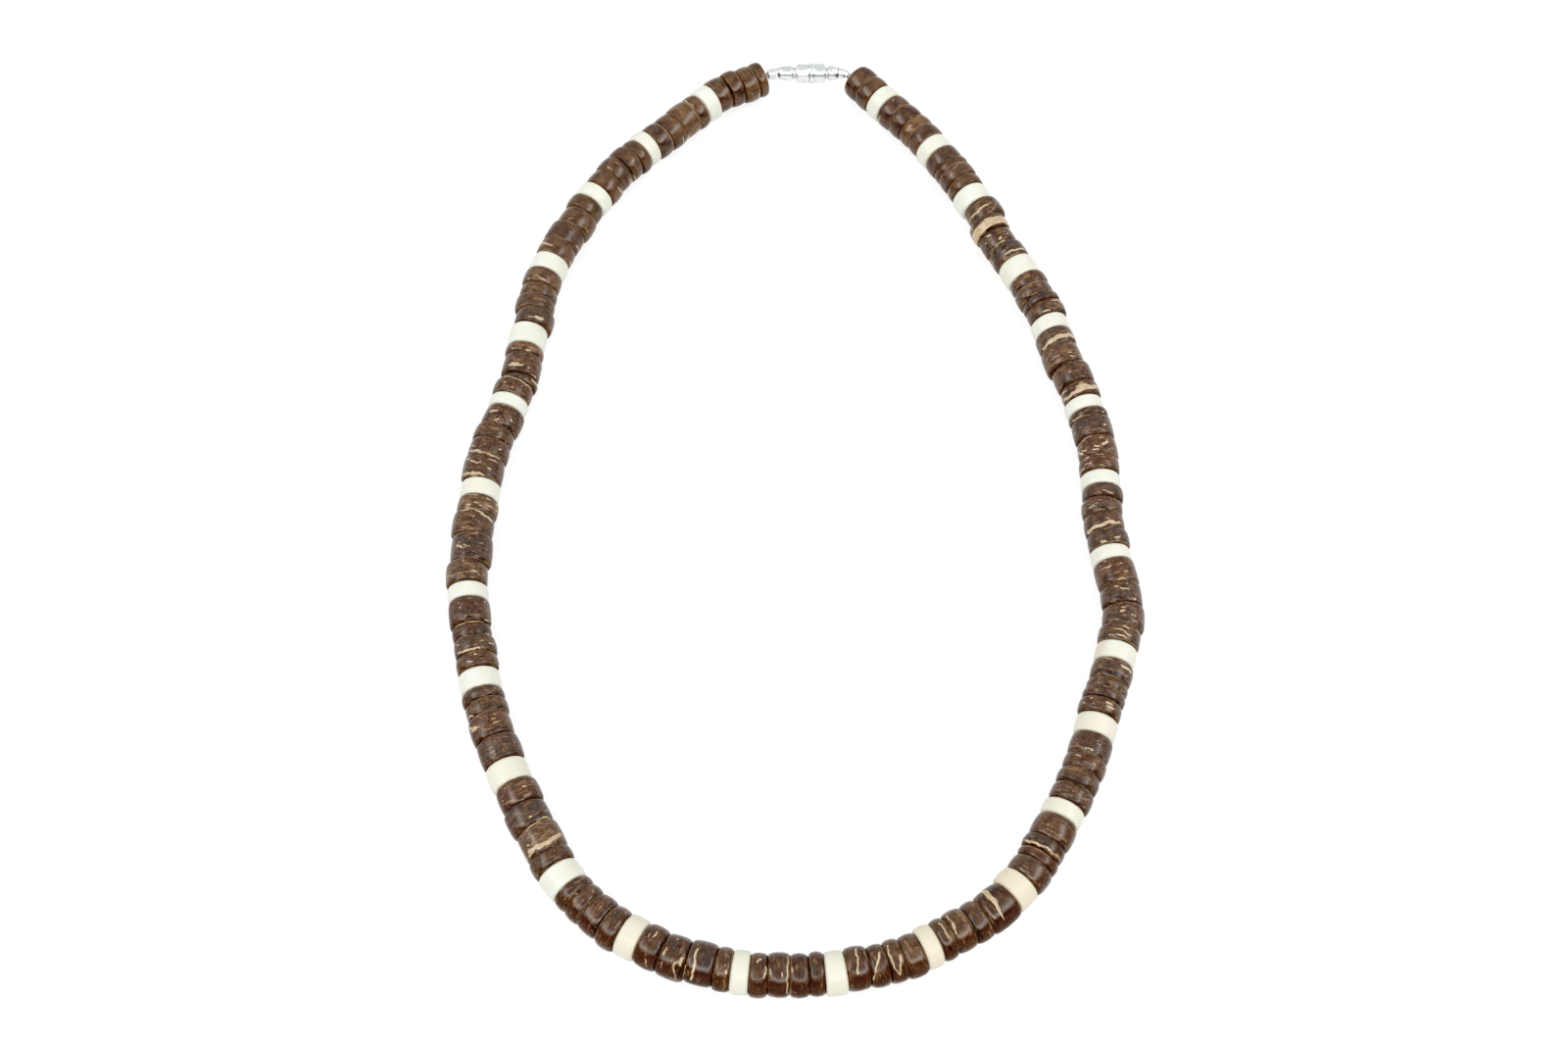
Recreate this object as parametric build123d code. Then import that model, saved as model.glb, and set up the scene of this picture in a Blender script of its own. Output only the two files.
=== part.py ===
import os
from math import pi, radians, tan

from build123d import *

# Coconut shell necklace: one closed string of polished brown coconut shell
# disks with single cream beads between the stacks, on a nylon thread that
# is closed by a barrel screw clasp. It lies flat in an egg-shaped loop.
# Millimetres. Origin: centre of the loop on the surface it lies on, +Z up,
# +Y towards the clasp, +X to the right with the clasp away from the viewer.

# ---------------------------------------------------------------- beads
white_od = 7.4            # cream bead, at the middle of its barrel
white_end_od = 7.1        # cream bead, at its two faces
white_edge = 0.55         # rounding of the cream bead's rims
coco_edge = 0.5           # rounding of a coconut disk's rims
seam_depth = 0.6          # how deep the seam between two disks of a stack is
seam_grip = 0.35          # how far the joining ring runs into each disk
seam_bore_d = 2.4         # hole in the joining ring
bore_d = 1.8              # hole through every bead
gap = 0.06                # clearance between neighbouring pieces

# ---------------------------------------------------------------- thread
thread_d = 0.8            # nylon thread
axis_height = white_od / 2

# ---------------------------------------------------------------- clasp
clasp_x = 3.6             # where the two halves of the clasp meet
clasp_y = 96.8
thread_in_clasp = 5.0     # the thread ends this far from where they meet
knot_hole_d = 1.1         # hole in each end of the clasp for the thread
knot_hole_deep = 1.6
stud_d = 2.4              # threaded stud of the left half, drawn plain
stud_long = 2.2
stud_clearance = 0.08

# one row for each turned section, from where the halves meet outwards
CLASP_COLUMNS = ("from_mm", "to_mm", "dia_mm", "edge_mm")
CLASP_LEFT = [
    (0.03, 2.70, 4.00, 0.25),     # barrel
    (2.60, 3.60, 2.30, 0.00),     # neck
    (3.50, 5.95, 3.00, 0.85),     # rounded end
]
CLASP_RIGHT = [
    (0.03, 1.10, 4.30, 0.35),     # rolled lip
    (0.95, 3.35, 3.95, 0.25),     # barrel
    (3.25, 4.05, 2.30, 0.00),     # neck
    (3.95, 6.05, 3.00, 0.85),     # rounded end
]
crimp_d = 1.95
crimp_bore_d = 1.0
crimp_edge = 0.3
# distance from where the halves meet to the near and far face of each crimp
CRIMPS = {"crimp_left": (6.55, 8.25), "crimp_right": (6.12, 7.35)}

# ---------------------------------------------------------------- route
# Corners of the thread's route, clockwise from inside the right half of the
# clasp, round the loop, to inside the left half. The bend at each corner is
# an arc; the two beside the clasp are where the thread leaves the metal.
ROUTE_COLUMNS = ("x_mm", "y_mm")
ROUTE = [
    (clasp_x + thread_in_clasp, clasp_y),
    (11.6, clasp_y),
    (26.1, 80.8),
    (34.3, 67.4),
    (49.3, 35.7),
    (57.2, 5.6),
    (56.8, -14.2),
    (59.7, -30.5),
    (49.5, -62.1),
    (36.6, -84.8),
    (11.5, -97.4),
    (-16.3, -96.2),
    (-36.5, -85.2),
    (-52.5, -55.7),
    (-59.9, -24.0),
    (-56.9, 5.3),
    (-52.7, 17.5),
    (-49.2, 46.7),
    (-36.2, 70.9),
    (-16.6, 90.1),
    (-5.2, clasp_y),
    (clasp_x - thread_in_clasp, clasp_y),
]
bend_at_right_crimp = 1.8
bend_at_left_crimp = 3.0
bend_share = 0.45         # share of the shorter run that an arc may use

# ---------------------------------------------------------------- string
# The beads in order, clockwise from the clasp. One row for each stack of
# coconut disks and the cream bead after it: the stack's diameter, the
# lengths of its disks along the thread, and the length of the cream bead.
first_face = 5.5          # from the thread's start to the first disk's face
STRING_COLUMNS = ("od_mm", "disk_lengths_mm", "white_after_mm")
STRING = [
    (6.9, (3.5, 3.4), 3.4),
    (7.0, (3.2, 3.6, 2.8, 3.3), 3.5),
    (7.2, (3.3, 1.8, 3.1, 2.7), 4.1),
    (7.2, (4.3, 3.4, 3.9, 3.9), 4.6),
    (7.2, (2.7, 2.9, 1.8, 3.0), 3.5),
    (7.2, (3.7, 4.7, 4.4, 3.3), 3.0),
    (7.2, (1.7, 4.5, 4.2, 3.2), 3.1),
    (7.2, (2.8, 3.1, 3.7, 3.1), 3.1),
    (7.3, (4.9, 4.2, 4.3, 3.4), 3.7),
    (7.2, (3.9, 2.0, 2.1, 2.9), 4.0),
    (7.2, (4.2, 3.0, 3.0, 3.5), 3.1),
    (7.3, (4.6, 2.5, 2.0, 3.5), 3.8),
    (7.2, (5.5, 2.9, 3.5, 2.6), 3.0),
    (7.2, (3.2, 2.8, 3.0, 3.8), 3.5),
    (7.3, (2.5, 3.1, 3.7, 2.9), 3.0),
    (7.3, (2.7, 4.7, 4.4, 3.9), 3.6),
    (7.3, (3.1, 3.7, 2.8, 2.2), 4.2),
    (7.3, (2.8, 5.2, 4.4, 4.5), 4.5),
    (7.3, (4.7, 4.5, 2.9, 2.2), 4.1),
    (7.2, (2.9, 3.4, 2.8, 5.0), 3.3),
    (7.3, (4.3, 5.8, 4.4, 3.5), 3.7),
    (7.2, (5.1, 3.5, 3.3, 4.4), 2.9),
    (7.1, (3.1, 1.7, 4.6, 2.4), 4.7),
    (7.0, (3.7, 2.9, 2.9, 3.5), 4.0),
    (7.0, (3.6, 4.3, 4.3, 3.3), 3.4),
    (6.9, (3.9, 3.8, 3.0, 2.5), 3.1),
    (6.9, (3.3, 3.7, 4.2, 2.6), 3.6),
    (7.0, (3.4, 3.1, 3.2, 2.5), 0.0),
]


def bend_radii():
    """Radius of the arc at each inner corner of the route."""
    radii = []
    for i in range(1, len(ROUTE) - 1):
        (ax, ay), (bx, by), (cx, cy) = ROUTE[i - 1], ROUTE[i], ROUTE[i + 1]
        before = Vector(bx - ax, by - ay, 0)
        after = Vector(cx - bx, cy - by, 0)
        turn = radians(before.get_angle(after))
        share = bend_share * min(before.length, after.length)
        radii.append(share / tan(turn / 2))
    radii[0] = bend_at_right_crimp
    radii[-1] = bend_at_left_crimp
    return radii


RADII = bend_radii()
route = FilletPolyline(
    *[Vector(x, y, axis_height) for x, y in ROUTE], radius=RADII
)


def station(distance):
    """Plane square across the thread at a distance along the route."""
    at = route.position_at(distance, position_mode=PositionMode.LENGTH)
    along = route.tangent_at(distance, position_mode=PositionMode.LENGTH)
    return Plane(origin=at, x_dir=Vector(0, 0, 1), z_dir=along)


def string_layout():
    """Every bead in order: (kind, row number, diameter, start, end)."""
    beads = []
    s = first_face
    for row, (od, lengths, white) in enumerate(STRING, start=1):
        for length in lengths:
            beads.append(("coco", row, od, s, s + length))
            s += length
        if white:
            beads.append(("white", row, white_od, s, s + white))
            s += white
    return beads


BEADS = string_layout()
MIDDLES = [station((start + end) / 2) for _, _, _, start, end in BEADS]


def joint_relief(i, j):
    """Half the opening on the axis between two beads that touch only on the
    inside of the curve, because the string bends there."""
    turn = radians(MIDDLES[i].z_dir.get_angle(MIDDLES[j].z_dir))
    return BEADS[i][2] / 2 * tan(turn / 2) + gap / 2


def bead_span(i):
    """Where bead i's two faces are, measured from its own middle."""
    _, _, _, start, end = BEADS[i]
    half = (end - start) / 2
    low = joint_relief(i, i - 1) if i > 0 else gap / 2
    high = joint_relief(i, i + 1) if i < len(BEADS) - 1 else gap / 2
    return -half + low, half - high


def along_axis(plane, low, high, diameter, edge=0.0):
    """Cylinder on a plane's z axis from low to high, its rims rounded."""
    body = Cylinder(diameter / 2, high - low)
    if edge:
        body = fillet(body.edges().filter_by(GeomType.CIRCLE), edge)
    return plane * Pos(0, 0, (low + high) / 2) * body


def white_bead(i):
    """Cream bead: a short barrel with rounded rims and a hole."""
    low, high = bead_span(i)
    half = (high - low) / 2
    side = ThreePointArc(
        (white_end_od / 2, -half), (white_od / 2, 0), (white_end_od / 2, half)
    )
    outline = side + Polyline(
        (white_end_od / 2, half), (0, half), (0, -half), (white_end_od / 2, -half)
    )
    face = Plane.XZ * make_face(outline)
    body = revolve(face, Axis.Z)
    rims = [e for e in body.edges().filter_by(GeomType.CIRCLE)
            if abs(e.radius - white_end_od / 2) < 0.01
            and abs(abs(e.center().Z) - half) < 0.01]
    body = fillet(rims, white_edge)
    body -= Cylinder(bore_d / 2, 3 * half)
    return MIDDLES[i] * Pos(0, 0, (low + high) / 2) * body


def coco_run(members):
    """Stack of coconut disks, joined by a ring round the hole at each seam."""
    od = BEADS[members[0]][2]
    body = None
    for i in members:
        low, high = bead_span(i)
        edge = min(coco_edge, (high - low) * 0.3)
        disk = along_axis(MIDDLES[i], low, high, od, edge)
        disk -= along_axis(MIDDLES[i], low - 1, high + 1, bore_d)
        body = disk if body is None else body + disk
        if i != members[-1]:
            seam = station(BEADS[i][4])
            reach = joint_relief(i, i + 1) + seam_grip
            ring = along_axis(seam, -reach, reach, od - 2 * seam_depth)
            ring -= along_axis(seam, -reach - 1, reach + 1, seam_bore_d)
            body += ring
    return body


def turned(plane, rows):
    """Solid of revolution from a table of turned sections."""
    body = None
    for low, high, dia, edge in rows:
        piece = along_axis(plane, low, high, dia, edge)
        body = piece if body is None else body + piece
    return body


right_way = Plane(
    origin=(clasp_x, clasp_y, axis_height), x_dir=(0, 0, 1), z_dir=(1, 0, 0)
)
left_way = Plane(
    origin=(clasp_x, clasp_y, axis_height), x_dir=(0, 0, 1), z_dir=(-1, 0, 0)
)

parts = {}

# clasp: the left half's stud sits in the right half's socket
left = turned(left_way, CLASP_LEFT)
left += along_axis(left_way, -stud_long, 0.5, stud_d)
left_end = CLASP_LEFT[-1][1]
left -= along_axis(left_way, left_end - knot_hole_deep, left_end + 1, knot_hole_d)
parts["clasp_half_left"] = left

right = turned(right_way, CLASP_RIGHT)
right -= along_axis(
    right_way, -1, stud_long + 0.1, stud_d + 2 * stud_clearance
)
right_end = CLASP_RIGHT[-1][1]
right -= along_axis(
    right_way, right_end - knot_hole_deep, right_end + 1, knot_hole_d
)
parts["clasp_half_right"] = right

for name, (near, far) in CRIMPS.items():
    way = left_way if name.endswith("left") else right_way
    crimp = along_axis(way, near, far, crimp_d, crimp_edge)
    crimp -= along_axis(way, near - 1, far + 1, crimp_bore_d)
    parts[name] = crimp

# thread
thread = sweep(
    Plane(origin=route @ 0, z_dir=route % 0) * Circle(thread_d / 2), path=route
)
parts["thread"] = thread

# beads
whites = [i for i, b in enumerate(BEADS) if b[0] == "white"]
for n, i in enumerate(whites, start=1):
    parts["white_bead_%02d" % n] = white_bead(i)
for row in range(1, len(STRING) + 1):
    members = [i for i, b in enumerate(BEADS) if b[0] == "coco" and b[1] == row]
    parts["coco_run_%02d" % row] = coco_run(members)

os.makedirs("parts", exist_ok=True)
for name, shape in parts.items():
    shape.label = name
    export_step(shape, "parts/%s.step" % name)

print("route length %.2f mm, radii %s" % (
    route.length, ", ".join("%.1f" % r for r in RADII)))
print("thread volume %.2f mm3, section x length %.2f mm3" % (
    thread.volume, pi * (thread_d / 2) ** 2 * route.length))
print("last face at %.2f mm of %.2f" % (BEADS[-1][4], route.length))
print("whole loop %.1f mm" % (route.length + 2 * thread_in_clasp))
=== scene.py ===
import math

import bpy
import numpy as np
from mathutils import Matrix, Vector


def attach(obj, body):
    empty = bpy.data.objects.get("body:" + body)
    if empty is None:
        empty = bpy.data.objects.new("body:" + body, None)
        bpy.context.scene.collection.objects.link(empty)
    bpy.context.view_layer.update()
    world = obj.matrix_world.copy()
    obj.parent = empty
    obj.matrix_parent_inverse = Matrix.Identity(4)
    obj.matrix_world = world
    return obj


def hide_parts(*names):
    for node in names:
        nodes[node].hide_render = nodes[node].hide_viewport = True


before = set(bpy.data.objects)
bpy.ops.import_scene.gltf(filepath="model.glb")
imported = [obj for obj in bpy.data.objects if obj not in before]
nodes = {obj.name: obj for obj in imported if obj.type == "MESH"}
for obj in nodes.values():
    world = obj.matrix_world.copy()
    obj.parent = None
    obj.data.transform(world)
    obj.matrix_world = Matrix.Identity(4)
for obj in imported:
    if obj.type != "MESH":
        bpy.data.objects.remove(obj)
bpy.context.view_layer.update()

# Coconut shell necklace, lying flat in an egg-shaped loop. The string runs
# clockwise from the clasp seen from above. Lengths in the tables are
# millimetres; MM turns them into metres.
MM = 0.001
SEED = 4127

# ------------------------------------------------------------------ camera
camera_data = bpy.data.cameras.new("camera")
camera_data.sensor_fit = "HORIZONTAL"
camera_data.sensor_width = 36.0
camera_data.lens = 48.375
camera_data.clip_start = 0.01
camera_data.clip_end = 20.0
camera = bpy.data.objects.new("camera", camera_data)
camera.location = (-0.0017, -0.2050, 0.3389)
camera.rotation_euler = (math.radians(30.0), 0.0, 0.0)
bpy.context.scene.collection.objects.link(camera)
bpy.context.scene.camera = camera

# ------------------------------------------------------------------- route
# The thread's route, as in the part: straight runs between these corners,
# with a bend at each. The two short bends are beside the clasp.
AXIS_HEIGHT = 3.7
CLASP_X, CLASP_Y = 3.6, 96.8
ROUTE = [
    (8.6, 96.8), (11.6, 96.8), (26.1, 80.8), (34.3, 67.4), (49.3, 35.7),
    (57.2, 5.6), (56.8, -14.2), (59.7, -30.5), (49.5, -62.1), (36.6, -84.8),
    (11.5, -97.4), (-16.3, -96.2), (-36.5, -85.2), (-52.5, -55.7),
    (-59.9, -24.0), (-56.9, 5.3), (-52.7, 17.5), (-49.2, 46.7),
    (-36.2, 70.9), (-16.6, 90.1), (-5.2, 96.8), (-1.4, 96.8),
]
BEND_AT_RIGHT_CRIMP, BEND_AT_LEFT_CRIMP, BEND_SHARE = 1.8, 3.0, 0.45
FIRST_FACE = 5.5
# How far the beads have slid along the thread. Columns: distance, slide.
SLIDE = [(0, -0.28), (110, -0.36), (230, -0.36), (300, -0.26), (400, -0.16), (482, -0.05), (500, -1.00)]


def route_pieces():
    """Runs and bends in order: (start, length, x, y, heading, turn per mm)."""
    points = [np.array(p) for p in ROUTE]
    legs = [b - a for a, b in zip(points, points[1:])]
    lengths = [float(np.hypot(*v)) for v in legs]
    headings = [math.atan2(v[1], v[0]) for v in legs]
    trims, turns, radii = [0.0], [0.0], [0.0]
    for i in range(1, len(legs)):
        turn = (headings[i] - headings[i - 1] + math.pi) % (2 * math.pi) - math.pi
        radius = BEND_SHARE * min(lengths[i - 1], lengths[i]) / math.tan(abs(turn) / 2)
        if i == 1:
            radius = BEND_AT_RIGHT_CRIMP
        if i == len(legs) - 1:
            radius = BEND_AT_LEFT_CRIMP
        turns.append(turn)
        radii.append(radius)
        trims.append(radius * math.tan(abs(turn) / 2))
    trims.append(0.0)
    pieces, at = [], 0.0
    for i, leg in enumerate(legs):
        way = leg / lengths[i]
        start = points[i] + way * trims[i]
        run = lengths[i] - trims[i] - trims[i + 1]
        pieces.append((at, run, start[0], start[1], headings[i], 0.0))
        at += run
        if i + 1 < len(legs):
            corner = points[i + 1] - way * trims[i + 1]
            bend = radii[i + 1] * abs(turns[i + 1])
            pieces.append((at, bend, corner[0], corner[1], headings[i],
                           turns[i + 1] / bend))
            at += bend
    return pieces


PIECES = route_pieces()


def station(distance):
    """(x, y, heading) at a distance along the route."""
    for start, length, x, y, heading, rate in PIECES:
        if distance <= start + length:
            break
    run = distance - start
    if not rate:
        return x + run * math.cos(heading), y + run * math.sin(heading), heading
    end = heading + rate * run
    return (x + (math.sin(end) - math.sin(heading)) / rate,
            y - (math.cos(end) - math.cos(heading)) / rate, end)


def turn_between(a, b):
    return (b[2] - a[2] + math.pi) % (2 * math.pi) - math.pi


# ------------------------------------------------------------------ string
# One row for each stack, clockwise from the clasp: the part's diameter for
# the stack, its disks, and the length of the cream bead after it. A disk is
# (length, diameter, step outwards from the string's line, how far its rims
# are rounded, colour).
STRING = [
    (6.9, [(3.5, 7.20, 0.25, 0.9, "choc"), (3.4, 7.26, 0.09, 0.8, "mid")], 3.4),
    (7.0, [(3.2, 7.28, -0.11, 0.9, "plum"), (3.6, 7.24, -0.01, 0.9, "plum"),
           (2.8, 7.24, 0.13, 0.8, "tan"), (3.3, 7.22, 0.12, 0.8, "plum")], 3.5),
    (7.2, [(3.3, 7.27, 0.09, 0.9, "grey"), (1.8, 7.21, 0.22, 0.6, "choc"),
           (3.1, 7.36, 0.24, 0.8, "grey"), (2.7, 7.23, 0.22, 0.8, "olive")], 4.1),
    (7.2, [(4.3, 7.38, 0.55, 1.0, "mid"), (3.4, 7.58, -0.47, 0.8, "choc"),
           (3.9, 6.96, -0.41, 0.8, "plum"), (3.9, 7.28, -0.14, 0.9, "blue")], 4.6),
    (7.2, [(2.7, 7.43, 0.30, 0.9, "red"), (2.9, 7.46, 0.08, 0.7, "mid"),
           (1.8, 7.53, 0.48, 0.6, "blue"), (3.0, 7.45, 0.51, 0.8, "mid")], 3.5),
    (7.2, [(3.7, 7.46, -0.29, 0.9, "grey"), (4.7, 7.48, -0.47, 0.8, "mid"),
           (4.4, 7.50, 0.19, 1.0, "plum"), (3.3, 7.20, 0.38, 0.7, "choc")], 3.0),
    (7.2, [(1.7, 7.46, 0.09, 0.6, "dark"), (4.5, 7.53, 0.14, 0.9, "slate"),
           (4.2, 7.35, 0.21, 0.9, "red"), (3.2, 7.44, 0.01, 0.8, "red")], 3.1),
    (7.2, [(2.8, 7.55, 0.24, 0.9, "slate"), (3.1, 7.40, -0.10, 0.8, "grey"),
           (3.7, 7.29, -0.03, 0.8, "choc"), (3.1, 7.56, 0.23, 0.8, "slate")], 3.1),
    (7.3, [(4.9, 7.52, 0.04, 0.9, "red"), (4.2, 7.44, 0.08, 0.9, "grey"),
           (4.3, 7.49, 0.30, 1.0, "plum"), (3.4, 7.50, -0.09, 0.9, "mid")], 3.7),
    (7.2, [(3.9, 7.34, 0.18, 1.0, "grey"), (2.0, 7.28, 0.10, 0.7, "olive"),
           (2.1, 7.50, -0.03, 0.7, "plum"), (2.9, 7.58, -0.14, 0.9, "mid")], 4.0),
    (7.2, [(4.2, 7.38, 0.16, 1.0, "plum"), (3.0, 7.46, 0.29, 0.9, "red"),
           (3.0, 7.38, 0.18, 0.9, "olive"), (3.5, 7.40, 0.24, 0.9, "choc")], 3.1),
    (7.3, [(4.6, 7.45, 0.04, 1.0, "mid"), (2.5, 7.48, -0.10, 0.7, "blue"),
           (2.0, 7.30, 0.09, 0.7, "red"), (3.5, 7.36, 0.16, 0.9, "grey")], 3.8),
    (7.2, [(5.5, 7.19, 0.21, 1.2, "dark"), (2.9, 7.10, 0.05, 0.8, "mid"),
           (3.5, 7.20, -0.14, 0.8, "tanbrown"), (2.6, 7.22, 0.03, 0.9, "mid")], 3.0),
    (7.2, [(3.2, 7.22, 0.33, 1.0, "olive"), (2.8, 7.24, 0.13, 0.9, "mid"),
           (3.0, 7.04, 0.07, 1.0, "dark"), (3.8, 7.22, -0.27, 1.0, "choc")], 3.5),
    (7.3, [(2.5, 7.23, -0.15, 0.9, "dark"), (3.1, 7.15, 0.06, 1.0, "dark"),
           (3.7, 7.27, 0.08, 1.0, "plum"), (2.9, 7.26, 0.30, 0.9, "mid")], 3.0),
    (7.3, [(2.7, 7.29, -0.11, 0.9, "olive"), (4.7, 7.27, -0.35, 1.1, "blue"),
           (4.4, 7.36, 0.06, 1.2, "dark"), (3.9, 7.36, -0.05, 1.2, "choc")], 3.6),
    (7.3, [(3.1, 7.58, 0.23, 1.1, "choc"), (3.7, 7.25, -0.02, 1.2, "red"),
           (2.8, 7.15, -0.02, 1.0, "mid"), (2.2, 7.19, 0.02, 0.9, "dark")], 4.2),
    (7.3, [(2.8, 7.58, -0.00, 0.9, "choc"), (5.2, 7.42, -0.13, 1.0, "light"),
           (4.4, 7.58, 0.16, 1.0, "slate"), (4.5, 7.52, -0.21, 1.2, "red")], 4.5),
    (7.3, [(4.7, 7.49, -0.10, 1.0, "slate"), (4.5, 7.39, 0.13, 0.9, "red"),
           (2.9, 7.44, -0.12, 0.8, "olive"), (2.2, 7.58, 0.04, 0.8, "slate")], 4.1),
    (7.2, [(2.9, 7.43, -0.12, 0.8, "mid"), (3.4, 7.49, -0.28, 0.9, "grey"),
           (2.8, 6.96, -0.08, 0.8, "dark"), (5.0, 7.52, -0.11, 1.1, "plum")], 3.3),
    (7.3, [(4.3, 7.53, 0.21, 0.9, "mid"), (5.8, 7.53, -0.41, 1.0, "blue"),
           (4.4, 7.58, -0.01, 0.8, "mid"), (3.5, 7.51, -0.23, 1.0, "light")], 3.7),
    (7.2, [(5.1, 7.58, 0.16, 0.9, "choc"), (3.5, 7.53, -0.07, 0.7, "plum"),
           (3.3, 7.44, 0.01, 0.8, "mid"), (4.4, 7.43, -0.38, 1.0, "dark")], 2.9),
    (7.1, [(3.1, 7.50, 0.14, 0.8, "red"), (1.7, 6.94, -0.46, 0.6, "plum"),
           (4.6, 7.38, -0.19, 0.9, "mid"), (2.4, 7.36, -0.05, 0.9, "tan")], 4.7),
    (7.0, [(3.7, 7.47, -0.65, 0.7, "slate"), (2.9, 7.57, -0.09, 0.8, "grey"),
           (2.9, 7.34, -0.10, 0.9, "olive"), (3.5, 7.46, 0.06, 1.0, "tanbrown")], 4.0),
    (7.0, [(3.6, 7.29, -0.02, 0.8, "mid"), (4.3, 7.36, 0.01, 0.8, "plum"),
           (4.3, 7.24, -0.41, 0.9, "mid"), (3.3, 7.25, 0.13, 1.0, "olive")], 3.4),
    (6.9, [(3.9, 7.25, -0.16, 0.8, "olive"), (3.8, 7.19, 0.24, 0.9, "choc"),
           (3.0, 7.45, 0.09, 0.8, "mid"), (2.5, 7.33, -0.23, 1.0, "olive")], 3.1),
    (6.9, [(3.3, 7.29, -0.34, 0.8, "slate"), (3.7, 7.24, -0.36, 0.8, "mid"),
           (4.2, 7.23, -0.13, 0.8, "tan"), (2.6, 7.23, -0.27, 0.9, "mid")], 3.6),
    (7.0, [(3.4, 7.16, 0.43, 0.8, "mid"), (3.1, 7.38, 0.18, 0.9, "choc"),
           (3.2, 7.32, -0.32, 0.8, "tanbrown"), (2.2, 7.29, -0.41, 1.0, "olive")], 0.0),
]
WHITE_OD = 7.4
GAP = 0.03

# Coconut shell colours, linear. Columns: name, red, green, blue.
SHELL = {
    "choc": (0.075, 0.034, 0.016),
    "mid": (0.102, 0.053, 0.025),
    "red": (0.095, 0.035, 0.015),
    "plum": (0.079, 0.038, 0.024),
    "grey": (0.089, 0.053, 0.031),
    "slate": (0.066, 0.041, 0.031),
    "blue": (0.044, 0.027, 0.023),
    "dark": (0.054, 0.021, 0.009),
    "olive": (0.102, 0.056, 0.023),
    "tanbrown": (0.135, 0.074, 0.035),
    "tan": (0.190, 0.103, 0.047),
    "light": (0.168, 0.103, 0.051),
}

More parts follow.
